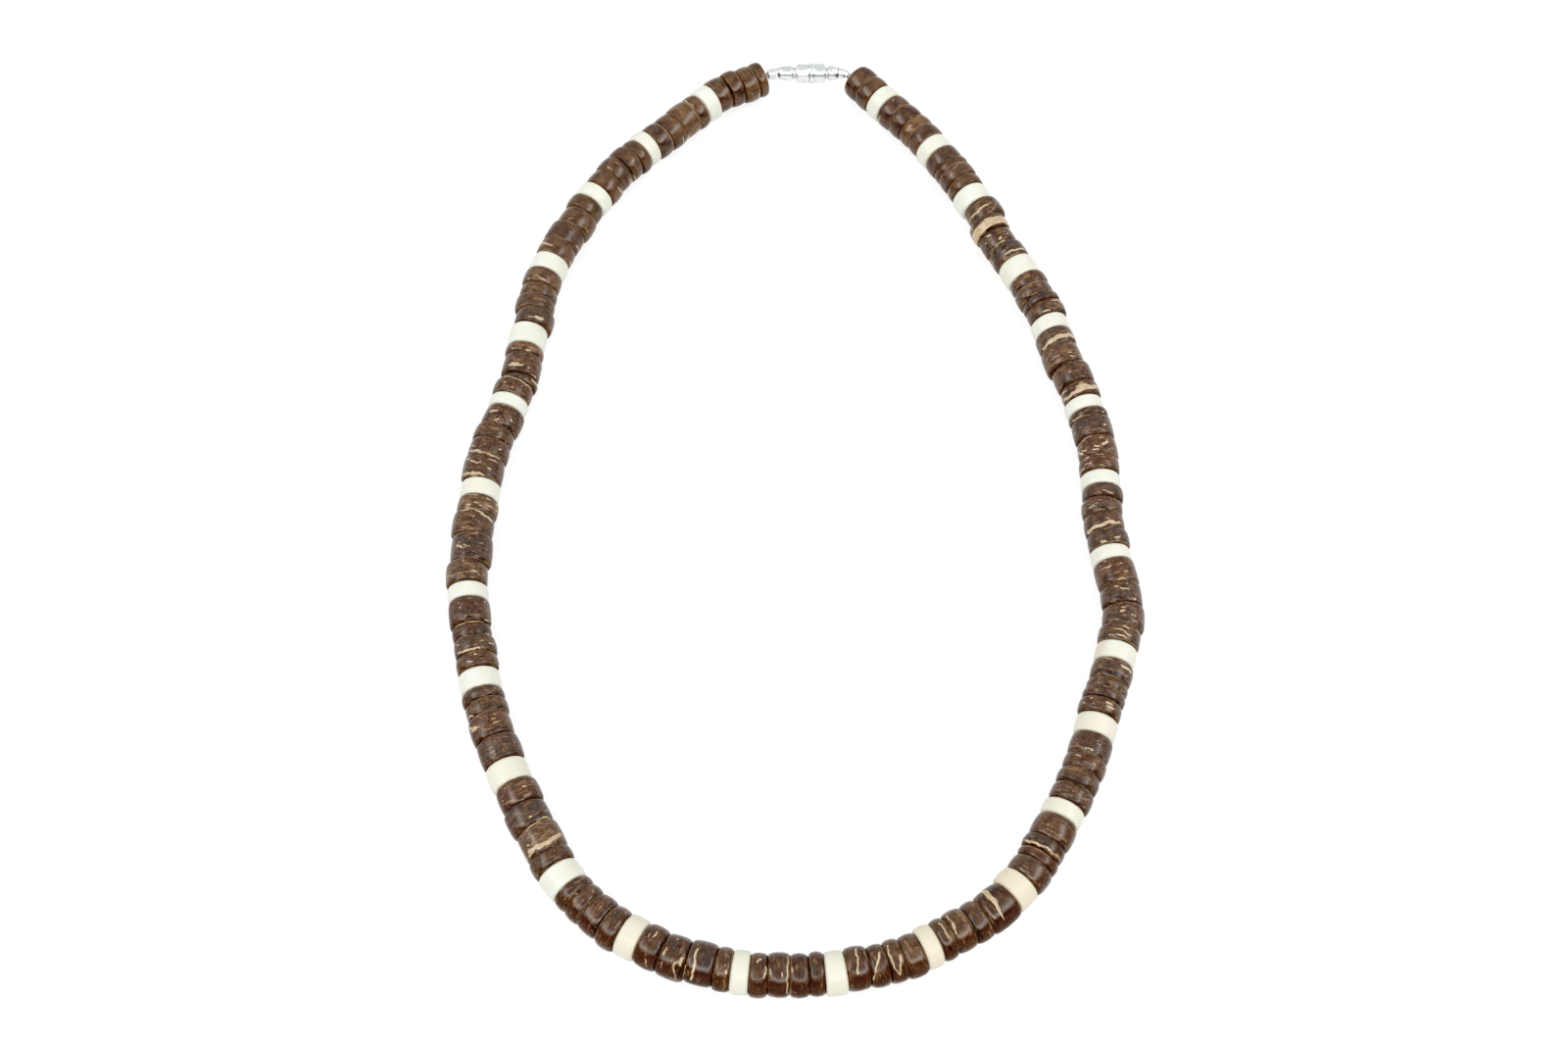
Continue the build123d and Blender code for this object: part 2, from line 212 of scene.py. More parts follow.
# Markings of the shell, charted. Each is a stroke on the
# disk's rim from one end to the other. Columns: stack, disk, tone, how far
# along the disk it starts (0 to 1, clockwise), the angle it starts at
# (degrees from the top, outwards positive), the same two for its end, and
# its half width in mm.
# The slate strokes are blue-grey patches, partly the shell's own colour and partly a painted reflection.
MARKS = [
    (1, 1, "dark", 0.79, -53, 0.72, -80, 0.30), (1, 1, "tan", 0.14, -72, 0.21, -100, 0.29),
    (1, 1, "tan", 0.71, 16, 0.84, 1, 0.20), (1, 2, "tan", 0.06, 8, 0.19, -25, 0.25),
    (1, 2, "tan", 0.60, 19, 0.88, -17, 0.25), (1, 2, "tan", 0.30, -53, 0.27, -74, 0.25),
    (1, 2, "dark", 0.49, -48, 0.46, -68, 0.23), (1, 2, "tan", 0.95, -57, 0.79, -100, 0.20),
    (2, 1, "cream", 0.29, 4, 0.38, -7, 0.18), (2, 1, "tan", 0.53, 31, 0.74, 15, 0.23),
    (2, 1, "dark", 0.85, 0, 0.98, -69, 0.18), (2, 1, "tan", 0.28, -65, 0.34, -75, 0.23),
    (2, 2, "slate", 0.35, 28, 0.47, 21, 0.35), (2, 2, "dark", 0.80, 9, 0.92, -34, 0.20),
    (2, 2, "dark", 0.95, -52, 0.92, -90, 0.23), (2, 2, "tan", 0.70, -9, 0.70, -31, 0.13),
    (2, 3, "tan", 0.25, 19, 0.47, -13, 0.40), (2, 3, "cream", 0.50, -27, 0.56, -48, 0.25),
    (2, 3, "tan", 0.68, -52, 0.71, -90, 0.25), (2, 3, "tan", 0.93, -26, 0.98, -78, 0.18),
    (2, 4, "tan", 0.71, -49, 0.75, -54, 0.18), (2, 4, "tan", 0.65, 31, 0.88, 15, 0.20),
    (2, 4, "tan", 0.50, 5, 0.61, -8, 0.18), (3, 1, "tan", 0.16, 11, 0.22, 4, 0.18),
    (3, 1, "tan", 0.50, 4, 0.54, 0, 0.15), (3, 1, "tan", 0.33, -14, 0.37, -18, 0.15),
    (3, 1, "tan", 0.10, -62, 0.15, -76, 0.26), (3, 1, "dark", 0.92, 8, 0.97, -16, 0.23),
    (3, 2, "dark", 0.04, -44, 0.09, -74, 0.23), (3, 2, "dark", 0.75, 7, 0.93, -38, 0.13),
    (3, 2, "dark", 0.98, -46, 0.95, -83, 0.20), (3, 3, "tan", 0.11, 22, 0.37, -19, 0.36),
    (3, 3, "tan", 0.66, -32, 0.71, -46, 0.23), (3, 3, "tan", 0.84, 26, 0.98, 16, 0.23),
    (3, 4, "tan", 0.13, -9, 0.21, -26, 0.28), (3, 4, "dark", 0.02, -41, 0.10, -72, 0.23),
    (3, 4, "tan", 0.56, 6, 0.65, 1, 0.18), (3, 4, "tan", 0.67, -13, 0.73, -18, 0.15),
    (4, 1, "cream", 0.55, 14, 0.58, -2, 0.13), (4, 1, "cream", 0.57, -2, 0.64, -40, 0.21),
    (4, 1, "cream", 0.64, -40, 0.60, -82, 0.15), (4, 1, "cream", 0.58, 33, 0.65, 28, 0.10),
    (4, 1, "tan", 0.16, -12, 0.26, -20, 0.15), (4, 1, "tan", 0.25, -2, 0.32, -6, 0.13),
    (4, 1, "tan", 0.77, 28, 0.98, -12, 0.18), (4, 2, "cream", 0.82, 112, 0.66, 0, 0.85),
    (4, 2, "cream", 0.66, 0, 0.78, -104, 0.95), (4, 3, "cream", 0.57, 28, 0.64, 21, 0.13),
    (4, 3, "cream", 0.75, -5, 0.79, -10, 0.23), (4, 3, "cream", 0.29, -30, 0.29, -41, 0.20),
    (4, 3, "cream", 0.48, -55, 0.48, -59, 0.15), (4, 3, "cream", 0.04, 52, 0.13, 52, 0.15),
    (4, 3, "cream", 0.97, 1, 0.98, -34, 0.13), (4, 3, "tan", 0.79, 17, 0.84, 0, 0.15),
    (4, 3, "tan", 0.75, -31, 0.81, -38, 0.13), (4, 3, "tan", 0.41, -74, 0.40, -79, 0.13),
    (4, 4, "cream", 0.02, -34, 0.02, -75, 0.18), (4, 4, "cream", 0.79, 43, 0.74, 19, 0.17),
    (4, 4, "cream", 0.76, 10, 0.74, -26, 0.20), (4, 4, "cream", 0.73, 30, 0.78, 6, 0.17),
    (4, 4, "slate", 0.24, 25, 0.34, 6, 0.45), (4, 4, "slate", 0.50, -35, 0.49, -58, 0.45),
    (4, 4, "dark", 0.28, -13, 0.38, -29, 0.30), (4, 4, "tan", 0.98, -25, 0.92, -43, 0.22),
    (4, 4, "tan", 0.95, -57, 0.98, -65, 0.12), (5, 1, "tan", 0.40, -9, 0.44, -24, 0.22),
    (5, 1, "tan", 0.02, 52, 0.07, 43, 0.25), (5, 1, "dark", 0.92, 3, 0.94, -21, 0.20),
    (5, 1, "dark", 0.93, -41, 0.89, -56, 0.17), (5, 1, "tan", 0.66, -51, 0.66, -57, 0.17),
    (5, 1, "cream", 0.12, -44, 0.04, -64, 0.10), (5, 1, "tan", 0.34, -83, 0.57, -93, 0.20),
    (5, 2, "tan", 0.02, 26, 0.22, -21, 0.24), (5, 2, "tan", 0.13, -27, 0.16, -55, 0.20),
    (5, 2, "tan", 0.45, 21, 0.53, 4, 0.17), (5, 2, "cream", 0.19, -76, 0.16, -88, 0.15),
    (5, 2, "slate", 0.78, -52, 0.79, -68, 0.29), (5, 2, "dark", 0.95, -30, 0.94, -48, 0.17),
    (5, 3, "slate", 0.23, 22, 0.41, -16, 0.39), (5, 3, "slate", 0.28, -23, 0.49, -50, 0.37),
    (5, 3, "dark", 0.98, -4, 0.98, -24, 0.17), (5, 3, "tan", 0.81, -10, 0.77, -19, 0.10),
    (5, 3, "slate", 0.52, -54, 0.42, -88, 0.29), (5, 4, "cream", 0.27, 45, 0.26, 15, 0.12),
    (5, 4, "cream", 0.45, 46, 0.47, 37, 0.12), (5, 4, "tan", 0.62, 30, 0.50, 1, 0.15),
    (5, 4, "cream", 0.94, -6, 0.83, -26, 0.12), (5, 4, "tan", 0.38, -51, 0.30, -57, 0.15),
    (5, 4, "tan", 0.47, -61, 0.53, -68, 0.15), (5, 4, "tan", 0.88, 20, 0.84, -2, 0.15),
    (6, 1, "cream", 0.69, 49, 0.71, 16, 0.44), (6, 1, "cream", 0.71, 16, 0.75, -15, 0.44),
    (6, 1, "cream", 0.75, -15, 0.82, -35, 0.37), (6, 1, "cream", 0.85, -38, 0.91, -67, 0.20),
    (6, 1, "dark", 0.61, -15, 0.55, -57, 0.20), (6, 1, "slate", 0.17, 4, 0.21, -20, 0.44),
    (6, 1, "tan", 0.41, 26, 0.49, 2, 0.15), (6, 1, "tan", 0.49, -62, 0.60, -73, 0.12),
    (6, 2, "tan", 0.14, 35, 0.19, 20, 0.17), (6, 2, "tan", 0.50, 25, 0.54, 2, 0.17),
    (6, 2, "cream", 0.63, 19, 0.65, 6, 0.10), (6, 2, "tan", 0.54, 46, 0.67, 29, 0.22),
    (6, 2, "tan", 0.67, -19, 0.60, -42, 0.22), (6, 2, "tan", 0.79, -16, 0.83, -32, 0.22),
    (6, 2, "cream", 0.82, 21, 0.84, 9, 0.15), (6, 2, "tan", 0.89, -22, 0.84, -64, 0.19),
    (6, 2, "tan", 0.35, -43, 0.37, -50, 0.17), (6, 2, "dark", 0.74, -29, 0.70, -50, 0.19),
    (6, 2, "tan", 0.50, -61, 0.53, -69, 0.17), (6, 2, "slate", 0.08, 22, 0.16, -18, 0.29),
    (6, 3, "cream", 0.02, -7, 0.04, -32, 0.10), (6, 3, "cream", 0.04, 36, 0.05, 25, 0.14),
    (6, 3, "tan", 0.06, 51, 0.18, 43, 0.14), (6, 3, "cream", 0.56, -15, 0.59, -23, 0.14),
    (6, 3, "tan", 0.62, 16, 0.63, -5, 0.17), (6, 3, "dark", 0.84, 30, 0.91, 1, 0.24),
    (6, 3, "dark", 0.91, -15, 0.80, -41, 0.36), (6, 3, "dark", 0.96, -42, 0.95, -63, 0.24),
    (6, 3, "tan", 0.34, 18, 0.29, 10, 0.14), (6, 3, "tan", 0.75, -28, 0.76, -38, 0.17),
    (6, 4, "cream", 0.59, 48, 0.67, 16, 0.43), (6, 4, "cream", 0.65, 16, 0.71, -19, 0.50),
    (6, 4, "cream", 0.75, -22, 0.76, -45, 0.28), (6, 4, "cream", 0.80, -45, 0.67, -82, 0.24),
    (6, 4, "cream", 0.31, 3, 0.31, -8, 0.17), (6, 4, "cream", 0.46, 9, 0.46, -19, 0.21),
    (6, 4, "tan", 0.09, -5, 0.07, -19, 0.14), (6, 4, "dark", 0.56, -32, 0.50, -53, 0.21),
    (6, 4, "tan", 0.38, -32, 0.39, -39, 0.17), (7, 1, "tan", 0.10, 32, 0.29, 13, 0.12),
    (7, 1, "cream", 0.76, 41, 0.86, 31, 0.07), (7, 1, "cream", 0.98, -32, 0.91, -71, 0.14),
    (7, 1, "tan", 0.52, 5, 0.55, -18, 0.12), (7, 2, "cream", 0.04, -9, 0.02, -32, 0.09),
    (7, 2, "dark", 0.02, 39, 0.06, 21, 0.17), (7, 2, "cream", 0.58, 32, 0.61, 24, 0.12),
    (7, 2, "tan", 0.86, 27, 0.80, -3, 0.21), (7, 2, "tan", 0.83, -2, 0.80, -28, 0.19),
    (7, 2, "tan", 0.77, -31, 0.81, -45, 0.17), (7, 2, "slate", 0.47, -20, 0.42, -54, 0.57),
    (7, 2, "slate", 0.34, 17, 0.35, -4, 0.38), (7, 2, "tan", 0.44, -5, 0.47, -10, 0.12),
    (7, 2, "cream", 0.31, -20, 0.32, -22, 0.09), (7, 3, "tan", 0.02, 32, 0.07, 1, 0.19),
    (7, 3, "tan", 0.02, -2, 0.02, -27, 0.17), (7, 3, "cream", 0.04, -21, 0.07, -53, 0.17),
    (7, 3, "cream", 0.22, 15, 0.23, -1, 0.10), (7, 3, "cream", 0.47, 23, 0.59, 6, 0.24),
    (7, 3, "cream", 0.65, -3, 0.61, -17, 0.14), (7, 3, "cream", 0.80, -8, 0.82, -24, 0.19),
    (7, 3, "tan", 0.72, 5, 0.73, -1, 0.17), (7, 3, "cream", 0.72, -44, 0.59, -62, 0.12),
    (7, 3, "cream", 0.77, -60, 0.55, -82, 0.24), (7, 3, "tan", 0.70, 41, 0.86, 20, 0.21),
    (7, 3, "dark", 0.89, 20, 0.91, -7, 0.12), (7, 3, "dark", 0.90, -26, 0.81, -44, 0.12),
    (7, 4, "cream", 0.15, 6, 0.06, -20, 0.08), (7, 4, "cream", 0.15, -38, 0.22, -45, 0.19),
    (7, 4, "tan", 0.30, 23, 0.30, 7, 0.12), (7, 4, "tan", 0.65, 4, 0.64, -9, 0.12),
    (7, 4, "cream", 0.61, -28, 0.60, -49, 0.08), (7, 4, "cream", 0.88, 4, 0.83, -12, 0.08),
    (7, 4, "tan", 0.35, 36, 0.47, 38, 0.12), (7, 4, "tan", 0.81, 35, 0.78, 30, 0.09),
    (8, 1, "cream", 0.87, 25, 0.85, 6, 0.08), (8, 1, "cream", 0.80, 6, 0.75, -7, 0.11),
    (8, 1, "tan", 0.87, -13, 0.78, -21, 0.14), (8, 1, "tan", 0.59, 16, 0.57, 11, 0.09),
    (8, 1, "tan", 0.86, 58, 0.71, 50, 0.14), (8, 1, "dark", 0.91, 0, 0.88, -10, 0.12),
    (8, 1, "slate", 0.11, 24, 0.20, -9, 0.33), (8, 2, "cream", 0.62, -31, 0.70, -45, 0.14),
    (8, 2, "dark", 0.90, 8, 0.85, -9, 0.28), (8, 2, "dark", 0.82, -12, 0.71, -28, 0.23),
    (8, 2, "dark", 0.95, -40, 0.90, -65, 0.16), (8, 2, "tan", 0.78, 38, 0.88, 11, 0.12),
    (8, 2, "tan", 0.47, -39, 0.44, -50, 0.09), (8, 2, "tan", 0.23, 38, 0.14, 31, 0.12),
    (8, 2, "slate", 0.35, 3, 0.45, -11, 0.33), (8, 3, "cream", 0.69, 39, 0.76, 9, 0.25),
    (8, 3, "cream", 0.70, 16, 0.79, -10, 0.32), (8, 3, "cream", 0.82, -10, 0.88, -40, 0.27),
    (8, 3, "cream", 0.82, -39, 0.94, -71, 0.27), (8, 3, "cream", 0.55, 8, 0.51, -2, 0.11),
    (8, 3, "tan", 0.35, 11, 0.37, 8, 0.12), (8, 3, "slate", 0.08, -40, 0.10, -48, 0.25),
    (8, 4, "tan", 0.02, 2, 0.14, -16, 0.16), (8, 4, "tan", 0.64, 28, 0.72, 14, 0.16),
    (8, 4, "cream", 0.76, 20, 0.78, 8, 0.18), (8, 4, "cream", 0.93, -19, 0.88, -31, 0.14),
    (8, 4, "tan", 0.62, 5, 0.62, -8, 0.11), (8, 4, "tan", 0.59, -44, 0.61, -47, 0.11),
    (8, 4, "slate", 0.12, 21, 0.18, -10, 0.36), (8, 4, "tan", 0.59, -27, 0.55, -33, 0.11),
    (9, 1, "cream", 0.35, 11, 0.34, 6, 0.13), (9, 1, "cream", 0.37, -20, 0.36, -63, 0.08),
    (9, 1, "cream", 0.11, -29, 0.10, -37, 0.11), (9, 1, "cream", 0.19, -50, 0.24, -52, 0.11),
    (9, 1, "cream", 0.66, 22, 0.65, 12, 0.11), (9, 1, "cream", 0.85, 11, 0.85, 8, 0.09),
    (9, 1, "tan", 0.87, 35, 0.88, 22, 0.15), (9, 1, "cream", 0.98, 9, 0.97, -14, 0.09),
    (9, 1, "tan", 0.93, 5, 0.90, -26, 0.13), (9, 1, "dark", 0.80, -20, 0.75, -50, 0.20),
    (9, 1, "slate", 0.63, -26, 0.64, -43, 0.26), (9, 1, "tan", 0.70, -2, 0.68, -17, 0.13),
    (9, 1, "cream", 0.51, -48, 0.53, -51, 0.08), (9, 1, "cream", 0.54, -56, 0.54, -58, 0.08),
    (9, 1, "tan", 0.16, -7, 0.19, -13, 0.13), (9, 2, "cream", 0.46, 13, 0.39, -9, 0.11),
    (9, 2, "cream", 0.32, -15, 0.28, -25, 0.13), (9, 2, "cream", 0.19, 15, 0.20, 7, 0.08),
    (9, 2, "cream", 0.84, 34, 0.89, 26, 0.15), (9, 2, "tan", 0.62, 48, 0.66, 33, 0.13),
    (9, 2, "cream", 0.86, 10, 0.85, 6, 0.09), (9, 2, "dark", 0.89, -8, 0.80, -27, 0.26),
    (9, 2, "slate", 0.63, -16, 0.56, -32, 0.24), (9, 2, "tan", 0.17, 0, 0.12, -26, 0.11),
    (9, 2, "slate", 0.65, 17, 0.67, 0, 0.26), (9, 2, "tan", 0.73, -49, 0.91, -54, 0.18),
    (9, 2, "cream", 0.34, -72, 0.35, -75, 0.11), (9, 2, "dark", 0.95, -29, 0.96, -42, 0.15),
    (9, 3, "cream", 0.05, -13, 0.07, -15, 0.09), (9, 3, "tan", 0.13, 23, 0.12, 19, 0.11),
    (9, 3, "cream", 0.61, 28, 0.61, 14, 0.09), (9, 3, "cream", 0.46, -5, 0.48, -14, 0.18),
    (9, 3, "cream", 0.31, -4, 0.33, -12, 0.09), (9, 3, "tan", 0.15, -19, 0.16, -22, 0.11),
    (9, 3, "slate", 0.45, 13, 0.43, 0, 0.29), (9, 3, "slate", 0.55, -24, 0.55, -33, 0.29),
    (9, 3, "dark", 0.77, -11, 0.66, -36, 0.15), (9, 3, "dark", 0.89, 4, 0.82, -27, 0.15),
    (9, 3, "tan", 0.64, 43, 0.71, 38, 0.11), (9, 3, "tan", 0.83, 36, 0.86, 17, 0.13),
    (9, 3, "tan", 0.17, 12, 0.16, 8, 0.11), (9, 4, "cream", 0.29, 17, 0.26, 2, 0.15),
    (9, 4, "cream", 0.68, 26, 0.57, 10, 0.15), (9, 4, "cream", 0.51, 6, 0.44, -22, 0.11),
    (9, 4, "cream", 0.83, 13, 0.81, -14, 0.13), (9, 4, "cream", 0.81, -11, 0.84, -33, 0.11),
    (9, 4, "tan", 0.49, 41, 0.64, 33, 0.11), (9, 4, "tan", 0.59, -31, 0.61, -34, 0.11),
    (9, 4, "dark", 0.25, -46, 0.27, -53, 0.11), (9, 4, "tan", 0.26, -11, 0.23, -24, 0.11),
    (9, 4, "slate", 0.62, -3, 0.58, -15, 0.20), (9, 4, "tan", 0.38, -55, 0.38, -62, 0.11),
    (10, 1, "cream", 0.36, 58, 0.32, 42, 0.15), (10, 1, "cream", 0.31, 42, 0.33, 21, 0.24),
    (10, 1, "cream", 0.16, -9, 0.16, -36, 0.09), (10, 1, "cream", 0.09, -39, 0.02, -72, 0.11),
    (10, 1, "slate", 0.48, 0, 0.43, -25, 0.43), (10, 1, "dark", 0.75, 50, 0.82, 26, 0.32),
    (10, 1, "dark", 0.88, 17, 0.82, -17, 0.37), (10, 1, "dark", 0.85, -17, 0.79, -44, 0.26),
    (10, 1, "tan", 0.14, 34, 0.19, 11, 0.15), (10, 1, "tan", 0.78, 10, 0.77, -2, 0.11),
    (10, 2, "tan", 0.57, 10, 0.54, 0, 0.15), (10, 2, "tan", 0.57, -12, 0.60, -18, 0.11),
    (10, 2, "dark", 0.84, 4, 0.76, -17, 0.17), (10, 2, "tan", 0.76, 52, 0.79, 40, 0.15),
    (10, 2, "dark", 0.72, 36, 0.75, 26, 0.13), (10, 3, "tan", 0.84, 54, 0.82, 38, 0.11),
    (10, 3, "dark", 0.88, 60, 0.87, 38, 0.21), (10, 3, "dark", 0.90, 21, 0.90, 2, 0.21),
    (10, 3, "dark", 0.90, -1, 0.91, -28, 0.21), (10, 3, "tan", 0.88, 30, 0.84, 21, 0.11),
    (10, 4, "cream", 0.41, 26, 0.39, 9, 0.17), (10, 4, "cream", 0.59, 33, 0.64, 14, 0.17),
    (10, 4, "tan", 0.43, 36, 0.61, 36, 0.11), (10, 4, "tan", 0.54, 6, 0.44, 2, 0.13),
    (10, 4, "cream", 0.30, -27, 0.30, -34, 0.15), (10, 4, "tan", 0.06, -31, 0.10, -43, 0.15),
    (10, 4, "cream", 0.62, -46, 0.58, -55, 0.11), (10, 4, "tan", 0.72, -13, 0.73, -29, 0.11),
    (10, 4, "cream", 0.84, 19, 0.83, 16, 0.06), (11, 1, "tan", 0.84, 17, 0.83, 5, 0.10),
    (11, 1, "cream", 0.84, 11, 0.89, -16, 0.10), (11, 1, "tan", 0.88, -16, 0.77, -43, 0.12),
    (11, 1, "dark", 0.87, 30, 0.87, 14, 0.25), (11, 1, "dark", 0.81, -18, 0.73, -28, 0.17),
    (11, 1, "cream", 0.51, 23, 0.51, 15, 0.13), (11, 1, "tan", 0.37, 15, 0.36, 9, 0.10),
    (11, 1, "tan", 0.35, -32, 0.33, -39, 0.10), (11, 1, "dark", 0.72, -12, 0.68, -21, 0.10),
    (11, 1, "tan", 0.86, -39, 0.84, -53, 0.21), (11, 1, "dark", 0.72, 45, 0.73, 37, 0.19),
    (11, 2, "cream", 0.58, 28, 0.58, 19, 0.08), (11, 2, "cream", 0.69, 15, 0.64, -5, 0.08),
    (11, 2, "cream", 0.45, -17, 0.36, -34, 0.12), (11, 2, "tan", 0.72, 18, 0.77, -6, 0.14),
    (11, 2, "dark", 0.53, 32, 0.56, 16, 0.10), (11, 2, "dark", 0.89, 17, 0.95, -1, 0.14),
    (11, 2, "tan", 0.44, -34, 0.30, -46, 0.10), (11, 2, "cream", 0.98, 14, 0.98, -7, 0.07),
    (11, 2, "tan", 0.98, -19, 0.96, -56, 0.10), (11, 3, "tan", 0.22, -2, 0.28, -29, 0.41),
    (11, 3, "tan", 0.02, 44, 0.07, 55, 0.14), (11, 3, "dark", 0.87, 31, 0.90, 1, 0.27),
    (11, 3, "dark", 0.90, 1, 0.90, -26, 0.20), (11, 4, "tan", 0.59, 46, 0.62, 32, 0.12),
    (11, 4, "tan", 0.45, -7, 0.41, -13, 0.14), (11, 4, "tan", 0.63, -16, 0.62, -26, 0.10),
    (11, 4, "tan", 0.71, -33, 0.65, -49, 0.14), (11, 4, "slate", 0.93, -2, 0.88, -33, 0.14),
    (11, 4, "tan", 0.05, -46, 0.22, -54, 0.18), (12, 1, "tan", 0.41, -2, 0.42, -7, 0.14),
    (12, 1, "cream", 0.58, -16, 0.60, -20, 0.12), (12, 1, "tan", 0.75, 49, 0.78, 32, 0.20),
    (12, 1, "tan", 0.75, 29, 0.78, -24, 0.16), (12, 1, "dark", 0.73, 6, 0.69, -24, 0.08),
    (12, 1, "dark", 0.84, 35, 0.92, 16, 0.14), (12, 1, "tan", 0.85, 16, 0.90, -7, 0.10),
    (12, 2, "slate", 0.05, 55, 0.17, 36, 0.44), (12, 2, "slate", 0.32, 8, 0.33, -25, 0.44),
    (12, 2, "cream", 0.73, 66, 0.88, 26, 0.10), (12, 2, "tan", 0.70, 54, 0.80, 21, 0.16),
    (12, 2, "cream", 0.80, 21, 0.84, -8, 0.16), (12, 2, "cream", 0.88, -8, 0.85, -58, 0.20),
    (12, 2, "tan", 0.43, -33, 0.39, -50, 0.14), (12, 2, "tan", 0.90, 53, 0.98, 20, 0.10),
    (12, 3, "tan", 0.30, 2, 0.31, -2, 0.10), (12, 3, "tan", 0.55, 43, 0.71, 33, 0.10),
    (12, 3, "tan", 0.15, -44, 0.14, -54, 0.10), (12, 3, "tan", 0.22, 4, 0.19, -42, 0.24),
    (12, 3, "dark", 0.82, 74, 0.98, 31, 0.12), (12, 3, "dark", 0.98, 5, 0.79, -45, 0.10),
    (12, 3, "tan", 0.22, 27, 0.30, 6, 0.14), (12, 4, "tan", 0.45, 55, 0.45, 49, 0.12),
    (12, 4, "tan", 0.88, 56, 0.89, 16, 0.14), (12, 4, "tan", 0.14, 35, 0.21, 30, 0.10),
    (12, 4, "dark", 0.75, 19, 0.73, 5, 0.12), (12, 4, "tan", 0.05, -16, 0.08, -22, 0.10),
    (12, 4, "tan", 0.67, -1, 0.67, -16, 0.14), (12, 4, "dark", 0.85, -7, 0.80, -19, 0.10),
    (12, 4, "tan", 0.54, -37, 0.61, -41, 0.10), (12, 4, "slate", 0.31, -8, 0.28, -35, 0.35),
    (13, 1, "cream", 0.66, 51, 0.67, 34, 0.11), (13, 1, "cream", 0.67, 35, 0.65, 16, 0.17),
    (13, 1, "cream", 0.63, 18, 0.61, -2, 0.32), (13, 1, "cream", 0.60, -1, 0.58, -21, 0.43),
    (13, 1, "cream", 0.59, -22, 0.54, -57, 0.47), (13, 1, "cream", 0.54, -61, 0.59, -64, 0.43),
    (13, 1, "tan", 0.87, 33, 0.90, 9, 0.17), (13, 1, "tan", 0.92, 9, 0.89, -8, 0.11),
    (13, 1, "dark", 0.95, -22, 0.86, -42, 0.17), (13, 1, "dark", 0.87, 53, 0.88, 36, 0.17),
    (13, 1, "dark", 0.75, -22, 0.78, -37, 0.13), (13, 1, "tan", 0.75, 17, 0.75, -10, 0.08),
    (13, 2, "tan", 0.35, 77, 0.39, 54, 0.15), (13, 2, "tan", 0.20, 54, 0.12, 39, 0.15),
    (13, 2, "tan", 0.19, 35, 0.14, 28, 0.11), (13, 2, "tan", 0.16, 11, 0.21, 2, 0.17),
    (13, 2, "slate", 0.66, 13, 0.70, -5, 0.21), (13, 2, "slate", 0.40, 4, 0.43, -14, 0.26),
    (13, 2, "tan", 0.02, -26, 0.05, -47, 0.17), (13, 2, "tan", 0.45, -18, 0.46, -24, 0.09),
    (13, 2, "dark", 0.83, 68, 0.90, 25, 0.19), (13, 2, "dark", 0.90, 25, 0.88, -21, 0.20),
    (13, 2, "tan", 0.22, -30, 0.25, -37, 0.09), (13, 3, "tan", 0.68, 51, 0.72, 42, 0.15),
    (13, 3, "tan", 0.73, 69, 0.79, 81, 0.13), (13, 3, "cream", 0.87, 18, 0.83, 4, 0.09),
    (13, 3, "cream", 0.83, 4, 0.80, -8, 0.20), (13, 3, "cream", 0.84, -8, 0.81, -47, 0.11),
    (13, 3, "tan", 0.29, 38, 0.25, 28, 0.22), (13, 3, "tan", 0.22, -2, 0.25, -36, 0.37),
    (13, 3, "tan", 0.51, -15, 0.50, -29, 0.09), (13, 3, "tan", 0.87, 30, 0.86, 18, 0.09),
    (13, 4, "cream", 0.39, 18, 0.44, -2, 0.15), (13, 4, "cream", 0.44, -2, 0.46, -33, 0.15),
    (13, 4, "tan", 0.31, 27, 0.42, 18, 0.18), (13, 4, "dark", 0.50, 51, 0.75, 30, 0.17),
    (13, 4, "tan", 0.02, 58, 0.02, 40, 0.09), (13, 4, "tan", 0.82, 46, 0.76, 21, 0.07),
    (13, 4, "slate", 0.07, 0, 0.07, -28, 0.13), (13, 4, "slate", 0.69, 12, 0.71, -18, 0.22),
    (13, 4, "dark", 0.89, 68, 0.97, 0, 0.09), (14, 1, "tan", 0.73, 54, 0.78, 35, 0.11),
    (14, 1, "tan", 0.78, 35, 0.85, 12, 0.09), (14, 1, "tan", 0.77, 12, 0.75, -25, 0.08),
    (14, 1, "tan", 0.60, 6, 0.71, -32, 0.25), (14, 1, "tan", 0.21, 1, 0.32, -1, 0.16),
    (14, 1, "dark", 0.92, 75, 0.97, 42, 0.11), (14, 1, "tan", 0.90, 48, 0.92, 23, 0.08),
    (14, 2, "cream", 0.57, 57, 0.42, 34, 0.13), (14, 2, "cream", 0.43, 34, 0.26, 5, 0.14),
    (14, 2, "tan", 0.20, 2, 0.30, 7, 0.13), (14, 2, "cream", 0.58, 53, 0.80, 28, 0.13),
    (14, 2, "cream", 0.80, 28, 0.83, -3, 0.14), (14, 2, "cream", 0.83, -3, 0.77, -33, 0.16),
    (14, 2, "dark", 0.97, 77, 0.98, 43, 0.14), (14, 2, "dark", 0.94, 43, 0.98, 13, 0.09),
    (14, 2, "tan", 0.13, -21, 0.21, -28, 0.13), (14, 2, "dark", 0.23, 66, 0.32, 54, 0.16),
    (14, 3, "cream", 0.96, 57, 0.86, 39, 0.13), (14, 3, "tan", 0.56, 48, 0.60, 41, 0.16),
    (14, 3, "tan", 0.28, 58, 0.45, 37, 0.09), (14, 3, "cream", 0.84, 32, 0.58, 9, 0.14),
    (14, 3, "cream", 0.58, 9, 0.29, -19, 0.18), (14, 3, "tan", 0.05, -1, 0.15, -28, 0.13),
    (14, 3, "tan", 0.69, -2, 0.78, -24, 0.16), (14, 3, "dark", 0.43, 54, 0.50, 51, 0.22),
    (14, 3, "dark", 0.95, 32, 0.95, -28, 0.09), (14, 3, "tan", 0.66, -22, 0.68, -30, 0.07),
